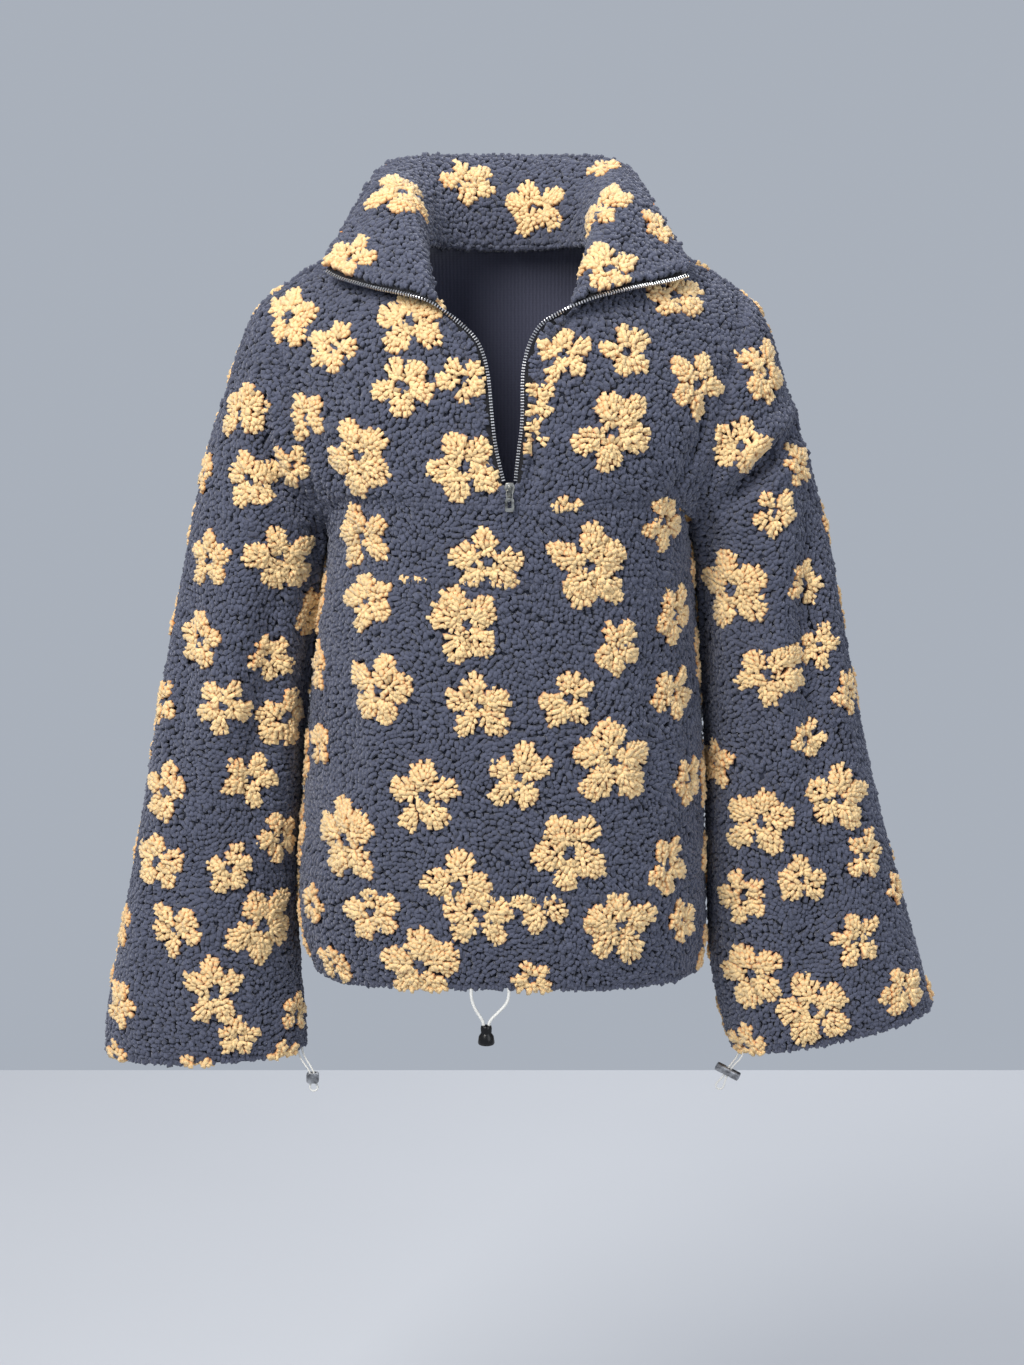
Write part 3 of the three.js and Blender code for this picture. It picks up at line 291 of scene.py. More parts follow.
# Settings a user would change
class FleeceSettings(bpy.types.PropertyGroup):
    """The cloth and its pile."""

    spacing: length_setting("Tuft spacing", "Least distance between two tufts", 3.45 * MM)
    lock_spacing: length_setting("Lock spacing", "Least distance between two locks", 2.85 * MM)
    tuft: length_setting("Tuft", "Half width of a tuft of the ground", 3.3 * MM)
    lock: length_setting("Flower lock", "Half length of a lock of a flower", 3.9 * MM)
    pile: length_setting("Pile", "Height of the pile above the knit", 3.0 * MM)
    seam: length_setting("Seam allowance", "How far the knit runs on at a seam", 1.8 * MM)
    knit: length_setting("Knit", "Thickness of the knit backing", 1.4 * MM)
    ground: colour_setting("Ground", "Colour of the ground's tips", 87, 91, 109)
    flower: colour_setting("Flower", "Colour of the flowers' tips", 255, 221, 163)
    # Painted shade: the flowers' locks darken to this colour towards their roots, for the shade deep in the
    # pile
    flower_root_painted_shade: colour_setting("Flower roots", "Colour deep in the flowers' pile", 232, 142, 68)
    back: colour_setting("Back of the knit", "Colour of the plain side", 86, 88, 108)
    seed: IntProperty(name="Seed", description="Changes the tufts and the hidden flowers", default=7)


class TrimSettings(bpy.types.PropertyGroup):
    """The zip and the draw cords."""

    hem_cord: length_setting("Hem cord", "Diameter of the hem's cord", 2.8 * MM)
    cuff_cord: length_setting("Cuff cord", "Diameter of the cuffs' cords", 1.8 * MM)
    tooth_pitch: length_setting("Tooth pitch", "Distance between two teeth of a side", 2.5 * MM)
    cord_colour: colour_setting("Cord", "Colour of the cords", 238, 237, 232)
    tape_colour: colour_setting("Zip tape", "Colour of the zip's tape", 17, 17, 20)


class StageSettings(bpy.types.PropertyGroup):
    """The floor, the backdrop and the light."""

    floor: length_setting("Floor", "Height of the floor", -1.36)
    reach: length_setting("Reach", "How far the floor reaches from the middle", 1.9)
    wall_colour: colour_setting("Backdrop", "Colour of the backdrop", 196, 204, 216)
    floor_colour: colour_setting("Floor colour", "Colour of the floor", 190, 192, 196)


# Node trees
class Wire:
    """An output of a node. Operators on it add Math nodes."""

    def __init__(self, graph, socket):
        self.graph = graph
        self.socket = socket

    def combined(self, operation, *values):
        return self.graph.node("ShaderNodeMath", {"operation": operation}, values)

    def __add__(self, other):
        return self.combined("ADD", self, other)

    __radd__ = __add__

    def __mul__(self, other):
        return self.combined("MULTIPLY", self, other)

    __rmul__ = __mul__


class Graph:
    """A node tree, and the methods that add nodes to it."""

    def __init__(self, tree):
        self.tree = tree

    def node(self, kind, settings=None, inputs=(), output=0):
        """Adds a node: its settings first, then its inputs by number or by name."""
        made = self.tree.nodes.new(kind)
        for key, value in (settings or {}).items():
            setattr(made, key, value)
        pairs = inputs.items() if isinstance(inputs, dict) else enumerate(inputs)
        for key, value in pairs:
            self.plug(made.inputs[key], value)
        return Wire(self, made.outputs[output])

    def plug(self, socket, value):
        if isinstance(value, Wire):
            self.tree.links.new(value.socket, socket)
        else:
            socket.default_value = value


class MaterialGraph(Graph):
    """A new material's node tree, with the patterns that the materials share."""

    def __init__(self, name):
        self.material = bpy.data.materials.new(name)
        self.material.use_nodes = True
        super().__init__(self.material.node_tree)
        self.shader = self.tree.nodes["Principled BSDF"]
        self.place = self.node("ShaderNodeTexCoord", output="Object")

    def finish(self, **values):
        """Sets the shader's sockets; names use _ for a space."""
        for key, value in values.items():
            self.plug(self.shader.inputs[key.replace("_", " ")], value)
        return self.material

    def noise(self, scale, detail=2.0):
        return self.node("ShaderNodeTexNoise", None, {
            "Vector": self.place, "Scale": scale, "Detail": detail, "Roughness": 0.6})

    def wave(self, direction, scale, distortion, detail=1.0, detail_scale=1.0):
        return self.node("ShaderNodeTexWave", {"bands_direction": direction}, {
            "Vector": self.place, "Scale": scale, "Distortion": distortion, "Detail": detail,
            "Detail Scale": detail_scale})

    def ramp(self, value, *stops):
        """A colour by a value, from two stops of a position and a colour."""
        made = self.node("ShaderNodeValToRGB", None, [value])
        for element, (position, colour) in zip(made.socket.node.color_ramp.elements, stops):
            element.position = position
            element.color = (*colour, 1)
        return made

    def mixed(self, factor, first, second, blend="MIX"):
        """Two colours, mixed by a factor."""
        return self.node(
            "ShaderNodeMix", {"data_type": "RGBA", "blend_type": blend}, {0: factor, 6: first, 7: second}, 2)

    def bump(self, height, depth, strength=1.0):
        return self.node("ShaderNodeBump", None, {"Height": height, "Distance": depth, "Strength": strength})


def tone(colour, factor=1.0, lift=0.0):
    """A colour made darker or lighter, with its alpha."""
    return (*[min(1.0, factor * part + lift) for part in colour], 1)


def pile_material():
    """Pile: the colour comes with each tuft, paler where fibres catch the light."""
    g = MaterialGraph("sherpa_pile")
    # The tufts' colour, which carries painted shade at their roots and in the grooves between petals
    tint = g.node("ShaderNodeAttribute", {"attribute_name": "tint"}, output="Color")
    fibres = g.ramp(g.noise(620.0, 3.0), (0.25, (0.74, 0.73, 0.72)), (0.75, (1.0, 1.0, 1.0)))
    return g.finish(
        Base_Color=g.mixed(1.0, tint, fibres, "MULTIPLY"), Roughness=0.95, Sheen_Weight=0.35,
        Sheen_Roughness=0.45, Sheen_Tint=(0.85, 0.86, 0.95, 1), Specular_IOR_Level=0.2,
        Normal=g.bump(g.noise(900.0, 3.0), 0.0012, 0.75))


def painted_shade_ground_material(colour):
    """The knit under the pile, with painted shade: its colour darkened to a third to a half, for the shade
    deep between the tufts.
    """
    g = MaterialGraph("pile_ground")
    return g.finish(
        Base_Color=g.mixed(g.noise(260.0), tone(colour, 0.3), tone(colour, 0.5)), Roughness=1.0,
        Specular_IOR_Level=0.1, Normal=g.bump(g.noise(500.0), 0.0008, 0.6))


def knit_material(colour):
    """The plain side of the fleece: fine columns of knit, slightly brushed."""
    g = MaterialGraph("knit_back")
    columns = g.wave("X", 95.0, 1.4, detail_scale=3.0)
    rows = g.wave("Z", 130.0, 1.8, detail_scale=3.0)
    knit = 0.45 * columns + 0.2 * rows + 0.35 * g.noise(420.0, 3.0)
    return g.finish(
        Base_Color=g.mixed(knit, tone(colour, 0.72), tone(colour)), Roughness=0.95, Sheen_Weight=0.2,
        Sheen_Roughness=0.5, Specular_IOR_Level=0.2, Normal=g.bump(knit, 0.0006, 0.7))


def tape_material(colour):
    """Zip tape: a fine twill of dark yarn."""
    g = MaterialGraph("zip_tape_twill")
    twill = g.wave("DIAGONAL", 520.0, 0.6)
    lint = g.noise(900.0)
    return g.finish(
        Base_Color=g.mixed(0.5 * twill + 0.4 * lint, tone(colour), tone(colour, 2.6, 0.004)),
        Roughness=0.82, Specular_IOR_Level=0.3, Normal=g.bump(twill, 0.0003, 0.8))


def metal_material(name, colour, rough, stain):
    """Metal with a slight patina in blotches."""
    g = MaterialGraph(name)
    scratches = g.noise(900.0)
    return g.finish(
        Base_Color=g.ramp(g.noise(170.0, 4.0), (0.38, stain), (0.62, colour)), Metallic=1.0,
        Roughness=rough + 0.22 * scratches, Normal=g.bump(scratches, 0.0001, 0.35))


def plastic_material(name, colour, rough):
    """Moulded plastic with a faint orange peel."""
    g = MaterialGraph(name)
    dust = g.noise(140.0, 3.0)
    return g.finish(
        Base_Color=g.mixed(0.5 * dust, tone(colour), tone(colour, lift=0.006)),
        Roughness=rough + 0.15 * dust, Specular_IOR_Level=0.35,
        Normal=g.bump(g.noise(700.0, 1.0), 0.0001, 0.3))


def cord_material(colour):
    """Elastic cord: a tight braid, seen as fine slanting ribs."""
    g = MaterialGraph("braided_elastic")
    braid = 0.6 * g.wave("DIAGONAL", 420.0, 0.4, 0.0) + 0.4 * g.wave("Z", 300.0, 0.4, 0.0)
    return g.finish(
        Base_Color=g.mixed(braid, tone(colour, 0.72), tone(colour)), Roughness=0.7,
        Normal=g.bump(braid, 0.0004, 0.8))


def stage_material(name, colour, rough):
    """A plain, slightly cloudy surface."""
    g = MaterialGraph(name)
    return g.finish(
        Base_Color=g.mixed(g.noise(1.3, 3.0), tone(colour, 0.94), tone(colour)), Roughness=rough,
        Normal=g.bump(g.noise(90.0, 3.0), 0.0006, 0.25))


MAKERS = {
    "pile": pile_material, "ground": painted_shade_ground_material, "knit": knit_material, "tape": tape_material,
    "metal": metal_material, "plastic": plastic_material, "cord": cord_material, "stage": stage_material,
}


def material(name, *values):
    """A material, made once. Its name is its maker's, with a label of its own where it has one."""
    if name not in MATERIALS:
        kind, _, label = name.partition(":")
        labels = [label] if label else []
        MATERIALS[name] = MAKERS[kind](*labels, *(values or FINISHES.get(name, ())))
    return MATERIALS[name]


# Work on objects
def deselect():
    if bpy.context.object and bpy.context.object.mode != "OBJECT":
        bpy.ops.object.mode_set(mode="OBJECT")
    bpy.ops.object.select_all(action="DESELECT")


def only(piece):
    """Makes a piece the one that operators act on."""
    deselect()
    piece.hide_set(False)
    piece.select_set(True)
    bpy.context.view_layer.objects.active = piece


class EditMode:
    """Edit mode on the active mesh, with all of it selected unless told otherwise."""

    def __init__(self, action="SELECT"):
        self.action = action

    def __enter__(self):
        bpy.ops.object.mode_set(mode="EDIT")
        if self.action:
            bpy.ops.mesh.select_all(action=self.action)

    def __exit__(self, *_):
        bpy.ops.object.mode_set(mode="OBJECT")


def select_faces(piece, chosen):
    """Selects faces of the piece in work, and nothing else."""
    with EditMode("DESELECT"):
        bpy.ops.mesh.select_mode(type="FACE")
    piece.data.polygons.foreach_set("select", chosen)


def apply_modifier(piece, kind, **settings):
    modifier = piece.modifiers.new(kind.title(), kind)
    for key, value in settings.items():
        setattr(modifier, key, value)
    only(piece)
    bpy.ops.object.modifier_apply(modifier=modifier.name)


def dress(piece, *finishes):
    piece.data.materials.clear()
    for finish in finishes:
        piece.data.materials.append(finish)


def hand_over(piece, node=None, body=GARMENT):
    """States what a piece replaces and which body it moves with."""
    if node:
        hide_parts(node)
    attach(piece, body)


def new_piece(name, mesh):
    piece = bpy.data.objects.new(name, mesh)
    bpy.context.scene.collection.objects.link(piece)
    return piece


def numbers(items, key, width, kind=np.float32):
    found = np.empty(len(items) * width, kind)
    items.foreach_get(key, found)
    return found.reshape(-1, width).astype(float if kind == np.float32 else kind)


def search_tree(piece):
    return BVHTree.FromObject(piece, bpy.context.evaluated_depsgraph_get())


def editable(piece):
    """A piece's mesh as its faces, edges and points, with fresh normals."""
    mesh = bmesh.new()
    mesh.from_mesh(piece.data)
    mesh.normal_update()
    return mesh


def merged_copy(node, name):
    """A copy of a CAD node's mesh with its doubled points merged."""
    piece = new_piece(name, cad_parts[node].data.copy())
    only(piece)
    with EditMode():
        bpy.ops.mesh.remove_doubles(threshold=SAME_POINT)
    for layer in list(piece.data.uv_layers):
        piece.data.uv_layers.remove(layer)
    if piece.data.has_custom_normals:
        bpy.ops.mesh.customdata_custom_splitnormals_clear()
    return piece


def hard_piece(node, name, rounding, finish, body=GARMENT):
    """A hard piece in a CAD node's place, with its flats joined and its edges rounded by some millimetres."""
    piece = merged_copy(node, name)
    with EditMode():
        bpy.ops.mesh.dissolve_limited(angle_limit=math.radians(1.0))
    apply_modifier(
        piece, "BEVEL", width=rounding * MM, segments=2, limit_method="ANGLE",
        angle_limit=math.radians(35), use_clamp_overlap=True)
    bpy.ops.object.shade_smooth_by_angle(angle=math.radians(50))
    dress(piece, material(finish))
    hand_over(piece, node, body)
    return piece


# Rays from the picture
def ray(across, down, side=FRONT):
    """Where a pixel's ray starts and its direction. From behind, the eye is mirrored."""
    ahead = Vector((0, math.cos(PITCH), -math.sin(PITCH)))
    upwards = Vector((0, math.sin(PITCH), math.cos(PITCH)))
    right = (across - PICTURE[0] / 2) / FOCAL_PIXELS
    below = (down - PICTURE[1] / 2) / FOCAL_PIXELS
    direction = (ahead + Vector((right, 0, 0)) - below * upwards).normalized()
    start = EYE.copy()
    start.y *= side
    direction.y *= side
    return start, direction


def on_cloth(skin, across, down, side=FRONT):
    """The point and normal that a pixel shows on a skin, or the nearest ones if its ray goes past."""
    start, direction = ray(across, down, side)
    point, normal, _, distance = skin["tree"].ray_cast(start, direction)
    if point is None:
        offset = skin["points"] - np.array(start)
        along = offset @ np.array(direction)
        away = np.linalg.norm(offset - along[:, None] * np.array(direction), axis=1)
        nearest = int(away.argmin())
        distance = float(along[nearest])
        point = start + direction * distance
        normal = Vector(skin["normals"][nearest])
    return point, normal, distance


def seam_corners(crease):
    """A seam fold's line on its front piece, worked out while that piece is made."""
    node = crease["over"]
    if node not in SEAM_LINES:
        tree = search_tree(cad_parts[node])
        rays = [ray(*spot) for spot in crease["line"]]
        SEAM_LINES[node] = [
            tree.find_nearest(start + direction * TO_FRONT)[0] for start, direction in rays]
    return SEAM_LINES[node]


# Cloth
def way_out(node, middle):
    """The way through a wall, at a place on it, towards the side that shows."""
    if node.startswith("collar"):
        away = Vector((-middle.x, -middle.y, COLLAR_RISE)) * (1 if node == "collar_facing" else -1)
    elif node.startswith("sleeve"):
        drop = min(1.0, max(0.0, -middle.z / SLEEVE_LENGTH))
        axis_x = math.copysign(SLEEVE_TOP_X + SLEEVE_SPREAD * drop, middle.x)
        away = Vector((middle.x - axis_x, middle.y - SLEEVE_Y, 0))
    else:
        away = Vector((middle.x, middle.y, 0))
    return away.normalized()


def smooth_part(first, part_of, mark):
    """Marks the faces that soft edges join to a first one, and gives them."""
    part_of[first.index] = mark
    found = [first]
    for face in found:
        for edge in face.edges:
            if len(edge.link_faces) != 2 or edge.calc_face_angle() > SOFT_EDGE:
                continue
            for other in edge.link_faces:
                if part_of[other.index] < 0:
                    part_of[other.index] = mark
                    found.append(other)
    return found


def outer_faces(piece, node):
    """The faces on the side of a cloth wall that shows, found by spreading over its smooth parts."""
    mesh = editable(piece)
    part_of = [-1] * len(mesh.faces)
    parts = []
    for first in mesh.faces:
        if part_of[first.index] < 0:
            faces = [
                (face.calc_area(), face.normal.dot(way_out(node, face.calc_center_median())))
                for face in smooth_part(first, part_of, len(parts))]
            parts.append((sum(area for area, _ in faces), sum(area * out for area, out in faces)))
    mesh.free()
    two_sides = sorted(range(len(parts)), key=lambda mark: -parts[mark][0])[:2]
    chosen = max(two_sides, key=lambda mark: parts[mark][1])
    return [mark == chosen for mark in part_of]


def read_skin(piece):
    """A skin's points, normals and search tree."""
    return {
        "tree": search_tree(piece),
        "points": numbers(piece.data.vertices, "co", 3),
        "normals": numbers(piece.data.vertices, "normal", 3),
    }


def move_points(piece, points):
    piece.data.vertices.foreach_set("co", points.ravel())
    piece.data.update()


def beside(points, start, end):
    """How far along a straight run each point lies, from 0 to 1, and its offset from the run."""
    run = end - start
    place = np.clip(((points - start) @ run) / (run @ run), 0, 1)
    return place, points - start - place[:, None] * run


def along_line(points, corners):
    """Each point's distance to a chain of corners, how far along it lies, from 0 to 1, and whether
    it lies above the chain."""
    best = np.full(len(points), FAR)
    share = np.zeros(len(points))
    above = np.zeros(len(points), bool)
    count = len(corners) - 1
    for step in range(count):
        place, offset = beside(points, np.array(corners[step]), np.array(corners[step + 1]))
        away = np.linalg.norm(offset, axis=1)
        nearer = away < best
        best[nearer] = away[nearer]
        share[nearer] = (step + place[nearer]) / count
        above[nearer] = offset[nearer, 2] > 0
    return best, share, above


def edge_distance(piece):
    """Each point's distance to the piece's nearest edge."""
    mesh = editable(piece)
    ends = [[list(vertex.co) for vertex in edge.verts] for edge in mesh.edges if edge.is_boundary]
    mesh.free()
    points = numbers(piece.data.vertices, "co", 3)
    best = np.full(len(points), FAR)
    for start, end in np.array(ends):
        best = np.minimum(best, np.linalg.norm(beside(points, start, end)[1], axis=1))
    return best


def bare_skin(node):
    """The visible face of a CAD cloth wall as quads."""
    piece = merged_copy(node, f"{node}_knit")
    select_faces(piece, [not keep for keep in outer_faces(piece, node)])
    with EditMode(None):
        bpy.ops.mesh.delete(type="FACE")
        bpy.ops.mesh.select_all(action="SELECT")
        bpy.ops.mesh.tris_convert_to_quads(
            face_threshold=math.radians(60), shape_threshold=math.radians(60))
    return piece


def smooth_skin(piece, levels):
    apply_modifier(piece, "SUBSURF", levels=levels, render_levels=levels, boundary_smooth="PRESERVE_CORNERS")
    piece.data.shade_smooth()
    return read_skin(piece)


def fold_lines(node, skin):
    """The folds of a piece with their lines carried onto it."""
    lines = []
    for crease in FOLDS.get(node, []):
        if crease["over"]:
            corners = seam_corners(crease)
        else:
            corners = [on_cloth(skin, *spot, crease["side"])[0] for spot in crease["line"]]
        back = np.array([0, -crease["side"], 0]) if crease["straight"] else None
        lines.append((corners, crease["width"], crease["depth"], crease["lip"], back))
    return lines


def press(piece, skin, lines):
    """Presses folds into a skin, and pinches it along its seams."""
    shift = np.zeros(skin["points"].shape)
    for corners, width, depth, lip, back in lines:
        away, share, above = along_line(skin["points"], corners)
        fade = np.sin(np.pi * (FOLD_END + (1 - 2 * FOLD_END) * share))
        valley = np.exp(-((away / width) ** 2))
        ridge = np.exp(-(((away - LIP_AT * width) / width) ** 2)) * np.where(above, lip, min(lip, LOW_LIP))
        outwards = skin["normals"] if back is None else back
        shift -= (depth * fade * (valley - ridge))[:, None] * outwards
    pinch = SEAM_PINCH * np.exp(-((edge_distance(piece) / SEAM_REACH) ** 2))
    move_points(piece, skin["points"] + shift - pinch[:, None] * skin["normals"])
    return read_skin(piece)


def beyond_edge(edge):
    """The way from an edge's face straight on beyond the edge."""
    face = edge.link_faces[0]
    start, end = edge.verts[0].co, edge.verts[1].co
    beyond = (end - start).cross(face.normal).normalized()
    if beyond.dot((start + end) / 2 - face.calc_center_median()) < 0:
        beyond.negate()
    return beyond


def edge_ways(piece):
    """At each point of a skin's edge, the way that leads straight on beyond it."""
    mesh = editable(piece)
    ways = np.zeros((len(mesh.verts), 3))
    for edge in mesh.edges:
        if edge.is_boundary:
            beyond = np.array(beyond_edge(edge))
            for vertex in edge.verts:
                ways[vertex.index] += beyond
    mesh.free()
    return unit(ways)


def unit(vectors):
    return vectors / np.maximum(np.linalg.norm(vectors, axis=-1, keepdims=True), 1e-9)


def uneven(rng, spread, shape, least=0.7, most=1.3):
    """Factors that vary round 1."""
    return rng.normal(1, spread, shape).clip(least, most)


# Pile
def scatter_tree(spacing, seed):
    """Geometry nodes that turn a skin into loose points, which keep its normals."""
    tree = bpy.data.node_groups.new("scatter", "GeometryNodeTree")
    for way in ("INPUT", "OUTPUT"):
        tree.interface.new_socket("Geometry", in_out=way, socket_type="NodeSocketGeometry")
    g = Graph(tree)
    spots = g.node("GeometryNodeDistributePointsOnFaces", {"distribute_method": "POISSON"}, {
        "Mesh": g.node("NodeGroupInput"), "Distance Min": spacing, "Density Max": 4.0 / spacing ** 2,
        "Seed": seed})
    stored = g.node("GeometryNodeStoreNamedAttribute", {"data_type": "FLOAT_VECTOR", "domain": "POINT"}, {
        "Geometry": spots, "Name": "outwards", "Value": Wire(g, spots.socket.node.outputs["Normal"])})
    end = tree.nodes.new("NodeGroupOutput")
    g.plug(end.inputs[0], g.node("GeometryNodePointsToVertices", None, [stored]))
    return tree


def distribute(skin, spacing, seed):
    """Scatters points over a skin at least spacing apart. Gives places and normals."""
    tree = scatter_tree(spacing, seed)
    cloud = new_piece("cloud", skin.data.copy())
    apply_modifier(cloud, "NODES", node_group=tree)
    places = numbers(cloud.data.vertices, "co", 3)
    outwards = numbers(cloud.data.attributes["outwards"].data, "vector", 3)
    bpy.data.objects.remove(cloud)
    bpy.data.node_groups.remove(tree)
    return places, outwards


def rim_rows(edge, beyond, teeth):
    """The rows of pile along an edge: a way out in millimetres, a depth and a tilt for each."""
    rows = [(out * beyond, deep, tilt) for out, deep, tilt in RIM_ROWS]
    if teeth is not None:
        middle = (edge.verts[0].co + edge.verts[1].co) / 2
        way = teeth.find_nearest(middle)[0] - middle
        room = way.length / MM
        if room < ZIP_NEAR and way.dot(beyond) > ZIP_AHEAD * way.length:
            way.normalize()
            rows += [
                (reach * way, TAPE_DEEP, TAPE_TILT) for reach in TAPE_ROWS if reach < room - TAPE_SHOWS]
    return rows


def rim_spots(skin, spacing, teeth, rng):
    """Rows of points along a skin's edges, turned outwards over the edge, so that pile wraps round it."""
    mesh = editable(skin)
    places, outwards, ways = [], [], []
    left_over = 0.0
    for edge in mesh.edges:
        if not edge.is_boundary:
            continue
        beyond = beyond_edge(edge)
        normal = edge.link_faces[0].normal
        share = edge.calc_length() / spacing + left_over
        count = int(share)
        left_over = share - count
        for out, deep, tilt in rim_rows(edge, beyond, teeth):
            for step in range(count):
                along = (step + rng.uniform(0.15, 0.85)) / count
                shift = out + rng.uniform(-0.6, 0.6) * beyond - (deep + rng.uniform(-0.4, 0.4)) * normal
                places.append(edge.verts[0].co.lerp(edge.verts[1].co, along) + MM * shift)
                outwards.append((normal + tilt * beyond).normalized())
                ways.append(beyond)
    mesh.free()
    return np.array(places), np.array(outwards), np.array(ways)


def combed(places, normals, rng):
    """A direction for every tuft of the ground: the nap hangs down, with soft swirls."""
    swirl = np.zeros(len(places))
    for _ in range(SWIRLS):
        wave = rng.normal(0, SWIRL_WAVE, 3)
        swirl += SWIRL_TURN * np.sin(places @ wave + rng.uniform(0, 2 * math.pi))
    swirl += rng.normal(0, NAP_NOISE, len(places))
    down = unit(np.array([0, 0, -1.0]) + normals * normals[:, 2:])
    across = np.cross(normals, down)
    return down * np.cos(swirl)[:, None] + across * np.sin(swirl)[:, None]


class NearestOf:
    """Several search trees, asked as one."""

    def __init__(self, trees):
        self.trees = trees

    def find_nearest(self, spot):
        return min((tree.find_nearest(spot) for tree in self.trees), key=lambda found: found[3])


class Flower:
    """A flower of rounded petals round a small open middle."""

    def __init__(self, centre, normal, radius, seed):
        rng = np.random.default_rng(seed)
        self.centre = np.array(centre)
        self.normal = np.array(normal)
        self.radius = radius
        any_way = np.array([0.31, 0.2, 0.93])
        self.right = unit(np.cross(any_way, self.normal))
        self.up = np.cross(self.normal, self.right)
        turn = rng.uniform(0, 2 * math.pi)
        even = turn + np.arange(PETALS) * 2 * math.pi / PETALS
        angles = even + rng.uniform(-PETAL_TURN, PETAL_TURN, PETALS)
        self.ways = np.stack([np.cos(angles), np.sin(angles)], 1)
        self.petals = rng.uniform(*PETAL_REACH, PETALS)[:, None] * radius * self.ways
        self.long = rng.uniform(*PETAL_LENGTH, PETALS) * radius - 1.2 * MM
        self.wide = rng.uniform(*PETAL_WIDTH, PETALS) * radius - 1.0 * MM
        self.hole = rng.uniform(*HOLE) * radius + 1.0 * MM
        squeeze = rng.uniform(0, math.pi)
        self.squeeze_way = np.array([math.cos(squeeze), math.sin(squeeze)])
        self.squeeze = rng.uniform(*SQUEEZE)

    def flat(self, places):
        """Places in the flower's own plane, and how far they lie off it."""
        offset = places - self.centre
        plane = np.stack([offset @ self.right, offset @ self.up], 1)
        plane = plane + self.squeeze * (plane @ self.squeeze_way)[:, None] * self.squeeze_way
        return plane, np.abs(offset @ self.normal)

    def covers(self, places, rng):
        """Which places the flower colours, how deep each lies between two petals, how near to a petal's
        middle it is, and the way that its lock lies."""
        plane, off = self.flat(places)
        ragged = rng.normal(0, RAGGED, len(places))
        offset = plane[:, None] - self.petals
        along = (offset * self.ways).sum(2)
        across = offset[:, :, 0] * -self.ways[:, 1] + offset[:, :, 1] * self.ways[:, 0]
        depth = np.sqrt((along / self.long) ** 2 + (across / self.wide) ** 2) + ragged[:, None]
        order = np.argsort(depth, axis=1)
        nearest, second = (np.take_along_axis(depth, order[:, rank:rank + 1], 1)[:, 0] for rank in (0, 1))
        from_middle = np.linalg.norm(plane, axis=1)
        petal = (nearest < 1) | (from_middle < CORE * self.radius)
        inside = petal & (from_middle > self.hole) & (off < FLOWER_DEPTH * self.radius)
        groove = np.exp(-(((second - nearest) / 0.2) ** 2)) * (second < 1.3)
        puff = np.clip(1 - nearest ** 2, 0, 1)
        fan = plane - FAN * self.petals[order[:, 0]]
        way = fan[:, :1] * self.right + fan[:, 1:] * self.up
        return inside, groove, puff, way


def flowers_of(node, skin, rng):
    """The flowers of a piece: those that the picture shows, then more on the sides it doesn't."""
    on_sleeve = node.startswith("sleeve")
    found = []
    for across, down, reach in FLOWERS.get(node, []):
        point, normal, distance = on_cloth(skin, across, down)
        size = reach * distance / FOCAL_PIXELS
        if on_sleeve:
            size *= 1.0 + SLEEVE_STRETCH * (1.0 - abs(normal.y))
        found.append(Flower(point, normal, size, across * 2000 + down))
    points, normals = skin["points"], skin["normals"]
    hidden = np.ones(len(points), bool)
    if node in FLOWERS:
        facing = (normals * unit(np.array(EYE) - points)).sum(1)
        hidden = facing < (SLEEVE_TURNED if on_sleeve else BODY_TURNED)
    for index in rng.permutation(len(points)):
        if not hidden[index]:
            continue
        radius = rng.uniform(*HIDDEN_RADIUS)
        clear = all(
            np.linalg.norm(points[index] - other.centre) > CLOSE * (radius + other.radius) + HIDDEN_GAP
            for other in found)
        if clear:
            found.append(Flower(points[index], normals[index], radius, int(rng.integers(1 << 30))))
    return found


def read_template():
    """Cuts the piece in work into triangles, lays it out flat and takes it away as arrays."""
    piece = bpy.context.object
    apply_modifier(piece, "TRIANGULATE")
    with EditMode():
        bpy.ops.uv.smart_project(angle_limit=math.radians(50), island_margin=0.03)
    mesh = piece.data
    template = {
        "points": numbers(mesh.vertices, "co", 3),
        "faces": numbers(mesh.polygons, "vertices", 3, np.int32),
        "uv": numbers(mesh.uv_layers.active.uv, "vector", 2),
    }
    bpy.data.objects.remove(piece)
    return template


def pillow_template(low, high, lean):
    """A tuft: a pillow, low wide at its foot and high wide at its top, that leans along its length."""
    deselect()
    bpy.ops.mesh.primitive_cube_add(size=2.0)
    for vertex in bpy.context.object.data.vertices:
        wide, shift, height = (high, lean, 0.9) if vertex.co.z > 0 else (low, 0.0, -0.45)
        vertex.co = (vertex.co.x * wide + shift, vertex.co.y * wide, height)
    return read_template()


def spread_batch(batch, unevenness, rng):
    """The points of a batch's copies, in their places."""
    points = batch["template"]["points"]
    shapes = np.repeat(points[None], len(batch["places"]), 0)
    if unevenness:
        shapes = shapes * uneven(rng, unevenness, (*shapes.shape[:2], 1))
    return np.einsum("nij,nvj->nvi", batch["frames"], shapes) + batch["places"][:, None]


